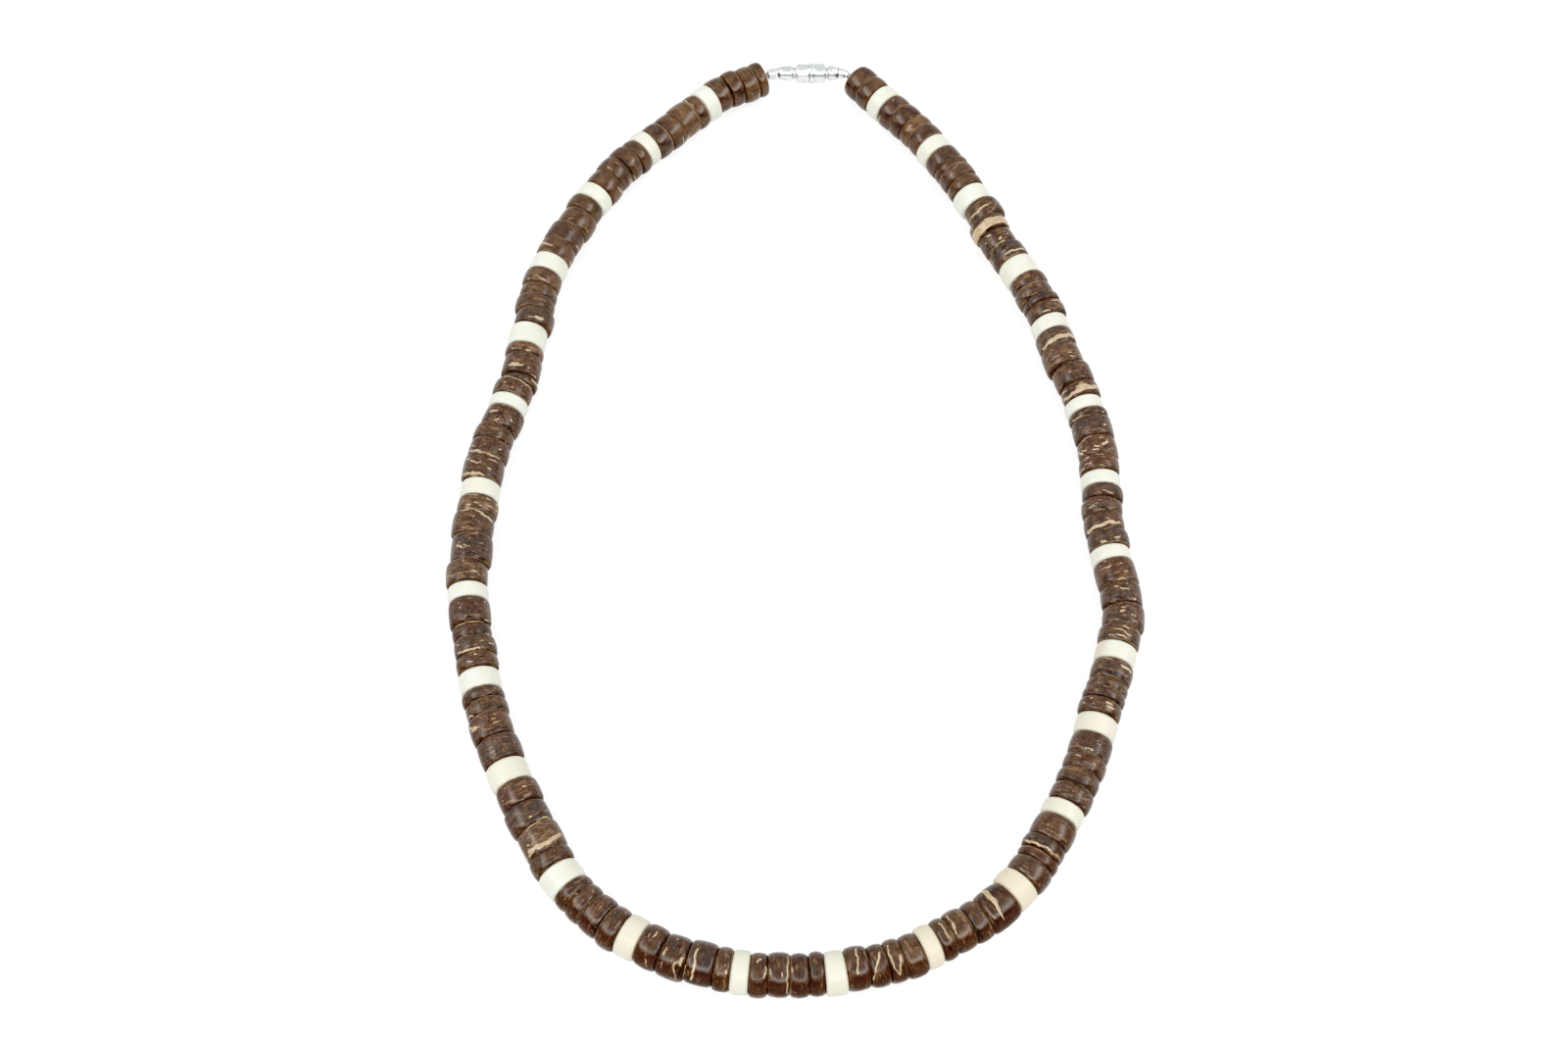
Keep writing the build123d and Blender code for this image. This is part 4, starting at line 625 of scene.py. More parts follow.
    (23, 4, "tan", 0.14, 5, 0.16, -2, 0.15), (23, 4, "tan", 0.46, 8, 0.35, -7, 0.11),
    (23, 4, "dark", 0.08, 18, 0.06, 9, 0.18), (23, 4, "dark", 0.20, -5, 0.25, -15, 0.13),
    (23, 4, "cream", 0.10, -15, 0.17, -26, 0.13), (23, 4, "tan", 0.41, -21, 0.45, -33, 0.13),
    (23, 4, "tan", 0.32, -36, 0.41, -57, 0.22), (23, 4, "tan", 0.47, -62, 0.74, -75, 0.35),
    (23, 4, "dark", 0.07, -43, 0.10, -65, 0.13), (23, 4, "tan", 0.71, 43, 0.69, 34, 0.11),
    (23, 4, "slate", 0.98, 48, 0.93, 3, 0.18), (23, 4, "tan", 0.74, -51, 0.98, -66, 0.27),
    (24, 1, "cream", 0.18, 9, 0.20, -12, 0.16), (24, 1, "cream", 0.20, -12, 0.31, -36, 0.25),
    (24, 1, "cream", 0.16, -14, 0.24, -35, 0.22), (24, 1, "tan", 0.20, -41, 0.24, -52, 0.13),
    (24, 1, "tan", 0.24, 25, 0.18, 9, 0.11), (24, 1, "dark", 0.18, 31, 0.07, 7, 0.11),
    (24, 1, "dark", 0.34, -13, 0.52, -35, 0.16), (24, 1, "slate", 0.66, 37, 0.67, 21, 0.45),
    (24, 1, "slate", 0.59, 6, 0.69, -15, 0.36), (24, 1, "slate", 0.37, -72, 0.66, -66, 0.36),
    (24, 1, "tan", 0.95, 26, 0.95, 9, 0.11), (24, 1, "tan", 0.21, 56, 0.15, 43, 0.11),
    (24, 2, "dark", 0.06, 25, 0.02, -2, 0.16), (24, 2, "tan", 0.30, 17, 0.27, 2, 0.16),
    (24, 2, "slate", 0.05, 48, 0.15, 34, 0.31), (24, 2, "tan", 0.41, -3, 0.55, -39, 0.36),
    (24, 2, "tan", 0.37, -60, 0.74, -78, 0.16), (24, 2, "slate", 0.63, 38, 0.62, 29, 0.22),
    (24, 2, "tan", 0.87, 27, 0.90, 9, 0.27), (24, 3, "dark", 0.09, 2, 0.14, -9, 0.18),
    (24, 3, "tan", 0.09, -14, 0.23, -21, 0.11), (24, 3, "cream", 0.35, 9, 0.38, 5, 0.09),
    (24, 3, "tan", 0.32, 17, 0.31, 1, 0.13), (24, 3, "dark", 0.02, -40, 0.11, -29, 0.16),
    (24, 3, "dark", 0.12, -47, 0.19, -60, 0.18), (24, 3, "cream", 0.64, -18, 0.71, -32, 0.13),
    (24, 3, "slate", 0.61, -39, 0.78, -51, 0.22), (24, 3, "tan", 0.31, -48, 0.53, -62, 0.18),
    (24, 3, "tan", 0.08, -70, 0.52, -77, 0.22), (24, 3, "tan", 0.94, -2, 0.98, -16, 0.22),
    (24, 4, "cream", 0.12, 35, 0.11, 30, 0.18), (24, 4, "cream", 0.24, 14, 0.28, 6, 0.16),
    (24, 4, "cream", 0.21, -1, 0.08, -22, 0.20), (24, 4, "cream", 0.06, -22, 0.12, -40, 0.13),
    (24, 4, "dark", 0.17, -33, 0.23, -48, 0.16), (24, 4, "dark", 0.31, -5, 0.28, -12, 0.13),
    (24, 4, "tan", 0.45, 23, 0.43, 7, 0.13), (24, 4, "cream", 0.75, -2, 0.77, -7, 0.13),
    (24, 4, "tan", 0.03, -43, 0.29, -70, 0.18), (24, 4, "tan", 0.41, -8, 0.45, -30, 0.13),
    (24, 4, "tan", 0.05, 43, 0.02, 30, 0.18), (25, 1, "cream", 0.57, 54, 0.38, 23, 0.36),
    (25, 1, "cream", 0.38, 23, 0.36, 3, 0.22), (25, 1, "cream", 0.39, 55, 0.33, 38, 0.16),
    (25, 1, "tan", 0.15, 4, 0.07, -31, 0.18), (25, 1, "tan", 0.78, 12, 0.77, 6, 0.13),
    (25, 1, "slate", 0.31, -24, 0.40, -38, 0.36), (25, 1, "tan", 0.06, -51, 0.13, -67, 0.22),
    (25, 1, "cream", 0.02, -52, 0.02, -63, 0.11), (25, 1, "slate", 0.77, -7, 0.72, -32, 0.27),
    (25, 1, "tan", 0.24, -50, 0.30, -55, 0.13), (25, 1, "slate", 0.69, -46, 0.80, -54, 0.18),
    (25, 1, "tan", 0.95, 20, 0.89, -4, 0.09), (25, 2, "dark", 0.05, 25, 0.05, 11, 0.16),
    (25, 2, "tan", 0.12, 6, 0.10, -12, 0.22), (25, 2, "dark", 0.07, -33, 0.18, -31, 0.13),
    (25, 2, "dark", 0.21, -35, 0.27, -44, 0.13), (25, 2, "dark", 0.23, -50, 0.13, -53, 0.16),
    (25, 2, "dark", 0.04, -47, 0.03, -36, 0.11), (25, 2, "tan", 0.11, -40, 0.17, -42, 0.16),
    (25, 2, "cream", 0.53, -22, 0.50, -30, 0.18), (25, 2, "tan", 0.47, -30, 0.42, -37, 0.11),
    (25, 2, "slate", 0.24, -16, 0.29, -23, 0.27), (25, 2, "slate", 0.51, -60, 0.67, -74, 0.31),
    (25, 2, "dark", 0.06, -63, 0.10, -78, 0.11), (25, 2, "tan", 0.21, -60, 0.30, -74, 0.18),
    (25, 2, "cream", 0.98, 37, 0.91, 21, 0.16), (25, 2, "slate", 0.74, -2, 0.74, -15, 0.22),
    (25, 2, "cream", 0.92, -39, 0.97, -43, 0.16), (25, 3, "cream", 0.20, 9, 0.22, 0, 0.18),
    (25, 3, "tan", 0.07, 40, 0.02, 24, 0.18), (25, 3, "cream", 0.14, -43, 0.19, -51, 0.13),
    (25, 3, "tan", 0.21, -55, 0.15, -71, 0.15), (25, 3, "tan", 0.06, -35, 0.10, -39, 0.09),
    (25, 3, "cream", 0.18, 9, 0.26, -2, 0.18), (25, 3, "tan", 0.13, 16, 0.15, 9, 0.13),
    (25, 3, "cream", 0.15, -41, 0.24, -53, 0.13), (25, 3, "cream", 0.21, -53, 0.18, -74, 0.13),
    (25, 3, "cream", 0.65, -1, 0.68, -13, 0.13), (25, 3, "cream", 0.74, -15, 0.74, -26, 0.15),
    (25, 3, "slate", 0.49, -25, 0.56, -37, 0.31), (25, 3, "tan", 0.25, -17, 0.28, -28, 0.18),
    (25, 3, "tan", 0.57, -71, 0.64, -77, 0.09), (25, 3, "dark", 0.91, 9, 0.95, -14, 0.20),
    (25, 3, "tan", 0.78, -60, 0.83, -65, 0.13), (25, 4, "dark", 0.07, -21, 0.06, -42, 0.26),
    (25, 4, "dark", 0.05, -70, 0.09, -83, 0.22), (25, 4, "tan", 0.10, -54, 0.09, -59, 0.15),
    (25, 4, "tan", 0.39, -13, 0.45, -28, 0.13), (25, 4, "tan", 0.98, 44, 0.82, -9, 0.26),
    (25, 4, "slate", 0.31, -36, 0.44, -60, 0.26), (25, 4, "tan", 0.16, -3, 0.20, -14, 0.11),
    (25, 4, "tan", 0.66, -2, 0.68, -20, 0.18), (25, 4, "tan", 0.02, -61, 0.08, -63, 0.11),
    (25, 4, "tan", 0.48, -61, 0.50, -74, 0.13), (26, 1, "tan", 0.24, 11, 0.27, -13, 0.31),
    (26, 1, "tan", 0.29, -27, 0.27, -31, 0.15), (26, 1, "slate", 0.42, -35, 0.52, -51, 0.31),
    (26, 1, "dark", 0.07, -17, 0.07, -27, 0.11), (26, 1, "tan", 0.18, -69, 0.35, -85, 0.20),
    (26, 1, "tan", 0.22, 36, 0.17, 15, 0.15), (26, 1, "slate", 0.63, -4, 0.63, -16, 0.31),
    (26, 1, "tan", 0.56, -52, 0.66, -62, 0.11), (26, 1, "tan", 0.06, -97, 0.22, -93, 0.13),
    (26, 1, "dark", 0.96, 16, 0.98, -16, 0.22), (26, 2, "dark", 0.04, -27, 0.04, -52, 0.20),
    (26, 2, "dark", 0.02, -52, 0.04, -78, 0.17), (26, 2, "cream", 0.17, 7, 0.17, -9, 0.20),
    (26, 2, "tan", 0.19, 17, 0.13, -17, 0.31), (26, 2, "tan", 0.15, -17, 0.20, -35, 0.22),
    (26, 2, "cream", 0.67, -6, 0.67, -18, 0.15), (26, 2, "tan", 0.67, 2, 0.69, -25, 0.22),
    (26, 2, "slate", 0.44, -39, 0.62, -58, 0.52), (26, 2, "tan", 0.19, 35, 0.20, 28, 0.17),
    (26, 2, "tan", 0.31, -42, 0.36, -48, 0.13), (26, 2, "tan", 0.15, -69, 0.29, -99, 0.17),
    (26, 3, "dark", 0.04, 14, 0.04, -17, 0.26), (26, 3, "dark", 0.07, -24, 0.06, -49, 0.20),
    (26, 3, "dark", 0.02, -53, 0.07, -80, 0.17), (26, 3, "cream", 0.45, -30, 0.51, -40, 0.15),
    (26, 3, "tan", 0.27, -13, 0.37, -30, 0.15), (26, 3, "tan", 0.44, 22, 0.43, 3, 0.17),
    (26, 3, "slate", 0.51, 8, 0.53, -3, 0.22), (26, 3, "tan", 0.31, -48, 0.45, -67, 0.22),
    (26, 3, "tan", 0.76, -8, 0.84, -30, 0.17), (26, 3, "tan", 0.26, -91, 0.50, -107, 0.17),
    (26, 3, "dark", 0.93, -55, 0.94, -77, 0.17), (26, 4, "dark", 0.11, 12, 0.10, -12, 0.17),
    (26, 4, "dark", 0.02, -30, 0.02, -52, 0.20), (26, 4, "tan", 0.36, 24, 0.43, 9, 0.26),
    (26, 4, "tan", 0.29, -4, 0.32, -23, 0.15), (26, 4, "tan", 0.27, -64, 0.32, -82, 0.17),
    (26, 4, "tan", 0.87, 14, 0.79, -12, 0.17), (27, 1, "slate", 0.46, 16, 0.44, -6, 0.30),
    (27, 1, "tan", 0.46, 22, 0.36, 29, 0.11), (27, 1, "slate", 0.34, -14, 0.35, -29, 0.26),
    (27, 1, "dark", 0.05, -25, 0.03, -50, 0.17), (27, 1, "dark", 0.42, -54, 0.66, -57, 0.26),
    (27, 1, "tan", 0.80, -70, 0.98, -85, 0.22), (27, 1, "tan", 0.11, -100, 0.22, -86, 0.17),
    (27, 1, "tan", 0.95, 10, 0.84, -12, 0.17), (27, 1, "tan", 0.10, -6, 0.04, -17, 0.11),
    (27, 2, "cream", 0.64, 5, 0.62, -8, 0.13), (27, 2, "tan", 0.35, 26, 0.27, -1, 0.17),
    (27, 2, "slate", 0.36, -5, 0.34, -24, 0.22), (27, 2, "tan", 0.76, -17, 0.78, -29, 0.13),
    (27, 2, "dark", 0.43, -53, 0.73, -62, 0.22), (27, 2, "tan", 0.22, -49, 0.20, -65, 0.22),
    (27, 2, "tan", 0.08, 9, 0.03, -12, 0.13), (27, 2, "tan", 0.30, -79, 0.61, -91, 0.22),
    (27, 2, "slate", 0.72, -86, 0.90, -94, 0.22), (27, 3, "tan", 0.34, 18, 0.26, -18, 0.30),
    (27, 3, "tan", 0.23, -18, 0.21, -54, 0.26), (27, 3, "cream", 0.35, 2, 0.35, -6, 0.15),
    (27, 3, "dark", 0.55, 24, 0.60, 11, 0.17), (27, 3, "slate", 0.44, -17, 0.49, -31, 0.22),
    (27, 3, "dark", 0.58, -58, 0.80, -55, 0.26), (27, 3, "tan", 0.19, -58, 0.28, -75, 0.22),
    (27, 3, "tan", 0.15, 3, 0.06, -17, 0.17), (27, 3, "tan", 0.50, -71, 0.79, -94, 0.17),
    (27, 3, "dark", 0.78, 9, 0.82, -11, 0.17), (27, 3, "tan", 0.95, -48, 0.98, -68, 0.13),
    (27, 4, "cream", 0.13, 41, 0.04, 11, 0.22), (27, 4, "cream", 0.02, 13, 0.08, -16, 0.19),
    (27, 4, "tan", 0.02, -14, 0.03, -31, 0.13), (27, 4, "tan", 0.41, 11, 0.41, -15, 0.22),
    (27, 4, "slate", 0.42, -38, 0.67, -50, 0.26), (27, 4, "dark", 0.16, -49, 0.39, -62, 0.26),
    (27, 4, "cream", 0.05, -75, 0.21, -90, 0.13), (27, 4, "tan", 0.83, -97, 0.98, -111, 0.17),
    (27, 4, "dark", 0.58, -63, 0.84, -60, 0.17), (28, 1, "cream", 0.10, 12, 0.10, -12, 0.13),
    (28, 1, "tan", 0.23, 2, 0.26, -23, 0.21), (28, 1, "tan", 0.39, -6, 0.50, -16, 0.17),
    (28, 1, "cream", 0.37, -44, 0.49, -52, 0.17), (28, 1, "tan", 0.10, -46, 0.14, -61, 0.15),
    (28, 1, "dark", 0.60, -65, 0.81, -79, 0.17), (28, 1, "dark", 0.17, -70, 0.26, -98, 0.17),
    (28, 1, "tan", 0.40, -97, 0.74, -112, 0.17), (28, 1, "tan", 0.06, -27, 0.04, -42, 0.11),
    (28, 1, "cream", 0.20, 40, 0.10, 19, 0.11), (28, 2, "tan", 0.02, 13, 0.02, -1, 0.21),
    (28, 2, "cream", 0.42, 0, 0.44, -12, 0.13), (28, 2, "cream", 0.87, -4, 0.88, -18, 0.15),
    (28, 2, "dark", 0.02, -29, 0.02, -57, 0.17), (28, 2, "dark", 0.19, -53, 0.60, -57, 0.25),
    (28, 2, "dark", 0.38, -63, 0.71, -64, 0.30), (28, 2, "tan", 0.20, -78, 0.37, -93, 0.17),
    (28, 2, "slate", 0.78, -81, 0.94, -97, 0.21), (28, 2, "tan", 0.24, -5, 0.27, -21, 0.17),
    (28, 3, "tan", 0.29, 13, 0.25, -18, 0.29), (28, 3, "tan", 0.56, 4, 0.64, -22, 0.25),
    (28, 3, "tan", 0.35, -33, 0.55, -43, 0.19), (28, 3, "cream", 0.32, -71, 0.44, -90, 0.19),
    (28, 3, "tan", 0.26, -84, 0.55, -96, 0.25), (28, 3, "tan", 0.57, -58, 0.70, -79, 0.17),
    (28, 3, "tan", 0.81, -15, 0.83, -38, 0.12), (28, 3, "tan", 0.16, -51, 0.25, -59, 0.17),
    (28, 3, "tan", 0.98, -25, 0.98, -46, 0.14), (28, 4, "cream", 0.21, 1, 0.26, -9, 0.16),
    (28, 4, "tan", 0.10, 16, 0.11, -1, 0.16), (28, 4, "tan", 0.50, 0, 0.54, -17, 0.16),
    (28, 4, "dark", 0.10, -58, 0.12, -78, 0.14), (28, 4, "dark", 0.51, -83, 0.55, -65, 0.12),
    (28, 4, "tan", 0.33, -56, 0.44, -77, 0.21), (28, 4, "tan", 0.70, -105, 0.95, -116, 0.12),
]

SHELL_TONES = ("cream", "tan", "dark", "slate", "deep")

# Painted shade: disks along the bottom of the loop are a deep red brown on their outer half, the side that
# faces the front and gets less light.
# Columns: first stack, last stack, angle of the middle, half width in mm,
# how strong.
DEEP_SHADE_BAND = [(12, 12, 48, 1.3, 0.6), (13, 16, 60, 1.7, 1.0), (17, 17, 55, 1.4, 0.8),
        (18, 20, 60, 1.1, 0.6)]


# How busy the markings are (0 to 1) in the stacks by the clasp and at the
# bottom, which are polished smoother than the others. Columns: stack, share.
BUSY = [(1, 0.05), (2, 0.10), (3, 0.40), (12, 0.70), (13, 0.45), (14, 0.40), (15, 0.45), (16, 0.60),
        (24, 0.40), (25, 0.15), (26, 0.10), (27, 0.05), (28, 0.00)]


# the last disk's outer face is worn thinner towards the inside of the loop
LAST_FACE = 0.09


def beads():
    """Every bead in order, with its place on the route."""
    out, s = [], FIRST_FACE
    for row, (od, disks, white) in enumerate(STRING, start=1):
        for k, disk in enumerate(disks, start=1):
            out.append(dict(kind="coco", row=row, number=k, part_od=od,
                            start=s, end=s + disk[0], disk=disk))
            s += disk[0]
        if white:
            out.append(dict(kind="white", row=row, number=0, part_od=WHITE_OD,
                            start=s, end=s + white, disk=None))
            s += white
    for b in out:
        middle = (b["start"] + b["end"]) / 2
        b["at"] = station(middle + float(np.interp(middle, *zip(*SLIDE))))
    for i, b in enumerate(out):
        half = (b["end"] - b["start"]) / 2
        b["low"], b["high"] = -half + GAP / 2, half - GAP / 2
        # how much longer each face stands per mm outwards, where the string
        # bends: the disks are worn and sawn so that they sit face to face
        b["lean_low"] = (math.tan(-turn_between(out[i - 1]["at"], b["at"]) / 2)
                         if i > 0 else 0.0)
        b["lean_high"] = (math.tan(-turn_between(b["at"], out[i + 1]["at"]) / 2)
                          if i + 1 < len(out) else LAST_FACE)
    return out


def lean(b, z, outward, share=1.0):
    """Moves points along a bead so that its two faces lean as they should."""
    half = (b["high"] - b["low"]) / 2
    f = (z - (b["low"] + b["high"]) / 2) / half
    towards_high, towards_low = np.clip(f, 0, 1), np.clip(-f, 0, 1)
    return z + share * outward * (b["lean_high"] * towards_high
                                  - b["lean_low"] * towards_low)


BEADS = beads()

# ----------------------------------------------------------- mesh helpers


def lathe_faces(rows, around, closed):
    """Quads of a grid of rows x around points, closed around, and also from
    the last row to the first when closed."""
    r = np.arange(rows if closed else rows - 1)
    a = np.arange(around)
    r0, a0 = np.meshgrid(r, a, indexing="ij")
    r1, a1 = (r0 + 1) % rows, (a0 + 1) % around
    return np.stack([r0 * around + a0, r0 * around + a1,
                     r1 * around + a1, r1 * around + a0], -1).reshape(-1, 4)


def make_mesh(name, verts, faces, attributes, material, smooth_angle=None):
    """Mesh object from arrays, in metres, with float or vector attributes."""
    me = bpy.data.meshes.new(name)
    me.vertices.add(len(verts))
    me.vertices.foreach_set("co", np.asarray(verts, np.float32).ravel())
    me.loops.add(faces.size)
    me.loops.foreach_set("vertex_index", faces.astype(np.int32).ravel())
    me.polygons.add(len(faces))
    me.polygons.foreach_set("loop_start", np.arange(0, faces.size, 4, dtype=np.int32))
    me.polygons.foreach_set("loop_total", np.full(len(faces), 4, np.int32))
    me.update(calc_edges=True)
    me.validate()
    me.polygons.foreach_set("use_smooth", np.ones(len(faces), bool))
    for key, values in attributes.items():
        values = np.asarray(values, np.float32)
        kind = "FLOAT" if values.ndim == 1 else "FLOAT_VECTOR"
        layer = me.attributes.new(key, kind, "POINT")
        layer.data.foreach_set("value" if kind == "FLOAT" else "vector", values.ravel())
    me.materials.append(material)
    obj = bpy.data.objects.new(name, me)
    bpy.context.scene.collection.objects.link(obj)
    return obj


def place(b, local, yaw=0.0, pitch=0.0):
    """Points from a bead's own frame (up, outward, along) into the row
    frame."""
    x, y, heading = b["at"]
    along = np.array([math.cos(heading), math.sin(heading), 0.0])
    outward = np.array([-math.sin(heading), math.cos(heading), 0.0])
    up = np.array([0.0, 0.0, 1.0])
    cy, sy, cp, sp = math.cos(yaw), math.sin(yaw), math.cos(pitch), math.sin(pitch)
    u, o, z = local[:, 0], local[:, 1], local[:, 2]
    o, z = o * cy + z * sy, -o * sy + z * cy
    u, z = u * cp + z * sp, -u * sp + z * cp
    centre = np.array([x, y, AXIS_HEIGHT])
    return (centre + u[:, None] * up + o[:, None] * outward + z[:, None] * along) * MM


# a rim starts this far round from the face, so that two disks meet in an open V
RIM_FROM = math.radians(28)


def rounded_outline(low, high, radius, round_low, round_high, bore, belly,
                    rim_depth, bore_edge=0.12, fine=0.12):
    """Closed outline (along, radius) of a bead's section: up the bore, over
    one rim, along the outside and back over the other rim."""
    pts = []
    for t in np.linspace(0.0, 1.0, 3):
        pts.append((high - bore_edge + (low - high + 2 * bore_edge) * t, bore))
    pts.append((low + bore_edge * 0.3, bore + bore_edge * 0.3))
    pts.append((low, bore + bore_edge))
    deep_low, deep_high = round_low * rim_depth, round_high * rim_depth
    face_r = radius - deep_low
    for t in (0.35, 0.7):
        pts.append((low, bore + bore_edge + (face_r - bore - bore_edge) * t))
    rim = np.linspace(RIM_FROM, math.pi / 2, 8)
    along = (math.cos(RIM_FROM) - np.cos(rim)) / math.cos(RIM_FROM)
    out = (np.sin(rim) - math.sin(RIM_FROM)) / (1 - math.sin(RIM_FROM))
    for x, y in zip(along, out):
        pts.append((low + round_low * x, radius - deep_low * (1 - y)))
    a, b = low + round_low, high - round_high
    n = max(4, int(round((b - a) / fine)))
    for t in np.linspace(0.0, 1.0, n + 1)[1:-1]:
        pts.append((a + (b - a) * t, radius + belly * 4 * t * (1 - t)))
    for x, y in zip(along[::-1], out[::-1]):
        pts.append((high - round_high * x, radius - deep_high * (1 - y)))
    face_r = radius - deep_high
    for t in (0.7, 0.35):
        pts.append((high, bore + bore_edge + (face_r - bore - bore_edge) * t))
    pts.append((high, bore + bore_edge))
    pts.append((high - bore_edge * 0.3, bore + bore_edge * 0.3))
    return np.array(pts)


def around_waves(rng, theta, z, terms, size):
    """Smooth unevenness round and along a bead, about size mm."""
    out = np.zeros_like(theta)
    for k in terms:
        out += rng.normal(0, size / k) * np.cos(
            k * theta + rng.uniform(0, 6.28) + rng.normal(0, 0.5) * z)
    return out


def shorter_way(angle):
    return (angle + math.pi) % (2 * math.pi) - math.pi


def stroke(theta, z, r, start, end, half, soft):
    """How far inside a stroke each point is: 0.5 on its edge."""
    z0, t0 = start
    z1, t1 = end
    dz, dt = z1 - z0, (t1 - t0) * r
    pz, pt = z - z0, shorter_way(theta - t0) * r
    length2 = dz * dz + dt * dt
    f = np.clip((pz * dz + pt * dt) / length2, 0, 1) if length2 > 1e-9 else 0.0
    d = np.hypot(pz - f * dz, pt - f * dt)
    return np.clip(0.5 + (half - d) / soft, 0, 1)


# --------------------------------------------------------------- materials


class Graph:
    """Short way to build a node material."""

    def __init__(self, name):
        self.material = bpy.data.materials.new(name)
        self.material.use_nodes = True
        self.tree = self.material.node_tree
        self.tree.nodes.clear()
        self.out = self.tree.nodes.new("ShaderNodeOutputMaterial")
        self.bsdf = self.tree.nodes.new("ShaderNodeBsdfPrincipled")
        self.tree.links.new(self.bsdf.outputs["BSDF"], self.out.inputs["Surface"])

    def node(self, kind, **settings):
        made = self.tree.nodes.new(kind)
        for key, value in settings.items():
            setattr(made, key, value)
        return made

    def put(self, socket, value):
        if hasattr(value, "is_output") or isinstance(value, bpy.types.NodeSocket):
            self.tree.links.new(value, socket)
        else:
            socket.default_value = value

    def attribute(self, name, vector=False):
        made = self.node("ShaderNodeAttribute", attribute_name=name)
        return made.outputs["Vector" if vector else "Fac"]

    def math(self, operation, a, b=None, c=None, clamp=False):
        made = self.node("ShaderNodeMath", operation=operation, use_clamp=clamp)
        for socket, value in zip(made.inputs, (a, b, c)):
            if value is not None:
                self.put(socket, value)
        return made.outputs[0]

    def scaled(self, vector, by):
        made = self.node("ShaderNodeVectorMath", operation="MULTIPLY")
        self.put(made.inputs[0], vector)
        self.put(made.inputs[1], by)
        return made.outputs[0]

    def added(self, vector, other):
        made = self.node("ShaderNodeVectorMath", operation="ADD")
        self.put(made.inputs[0], vector)
        self.put(made.inputs[1], other)
        return made.outputs[0]

    def noise(self, vector, scale, detail=2.0, roughness=0.5, distortion=0.0):
        made = self.node("ShaderNodeTexNoise")
        self.put(made.inputs["Vector"], vector)
        made.inputs["Scale"].default_value = scale
        made.inputs["Detail"].default_value = detail
        made.inputs["Roughness"].default_value = roughness
        made.inputs["Distortion"].default_value = distortion
        return made.outputs["Fac"]

    def cells(self, vector, scale, feature="F1"):
        made = self.node("ShaderNodeTexVoronoi", feature=feature)
        self.put(made.inputs["Vector"], vector)
        made.inputs["Scale"].default_value = scale
        return made

    def between(self, value, low, high, smooth=True):
        """0 under low and 1 over high."""
        made = self.node("ShaderNodeMapRange",
                         interpolation_type="SMOOTHSTEP" if smooth else "LINEAR")
        made.clamp = True
        self.put(made.inputs["Value"], value)
        self.put(made.inputs["From Min"], low)
        self.put(made.inputs["From Max"], high)
        return made.outputs[0]

    def mix(self, factor, a, b, blend="MIX"):
        made = self.node("ShaderNodeMix", data_type="RGBA", blend_type=blend)
        made.clamp_factor = True
        self.put(made.inputs[0], factor)
        for socket, value in ((made.inputs[6], a), (made.inputs[7], b)):
            if isinstance(value, tuple) and len(value) == 3:
                value = (*value, 1.0)
            self.put(socket, value)
        return made.outputs[2]

    def bump(self, height, strength, distance, under=None):
        made = self.node("ShaderNodeBump")
        made.inputs["Strength"].default_value = strength
        made.inputs["Distance"].default_value = distance
        self.put(made.inputs["Height"], height)
        if under is not None:
            self.put(made.inputs["Normal"], under)
        return made.outputs["Normal"]


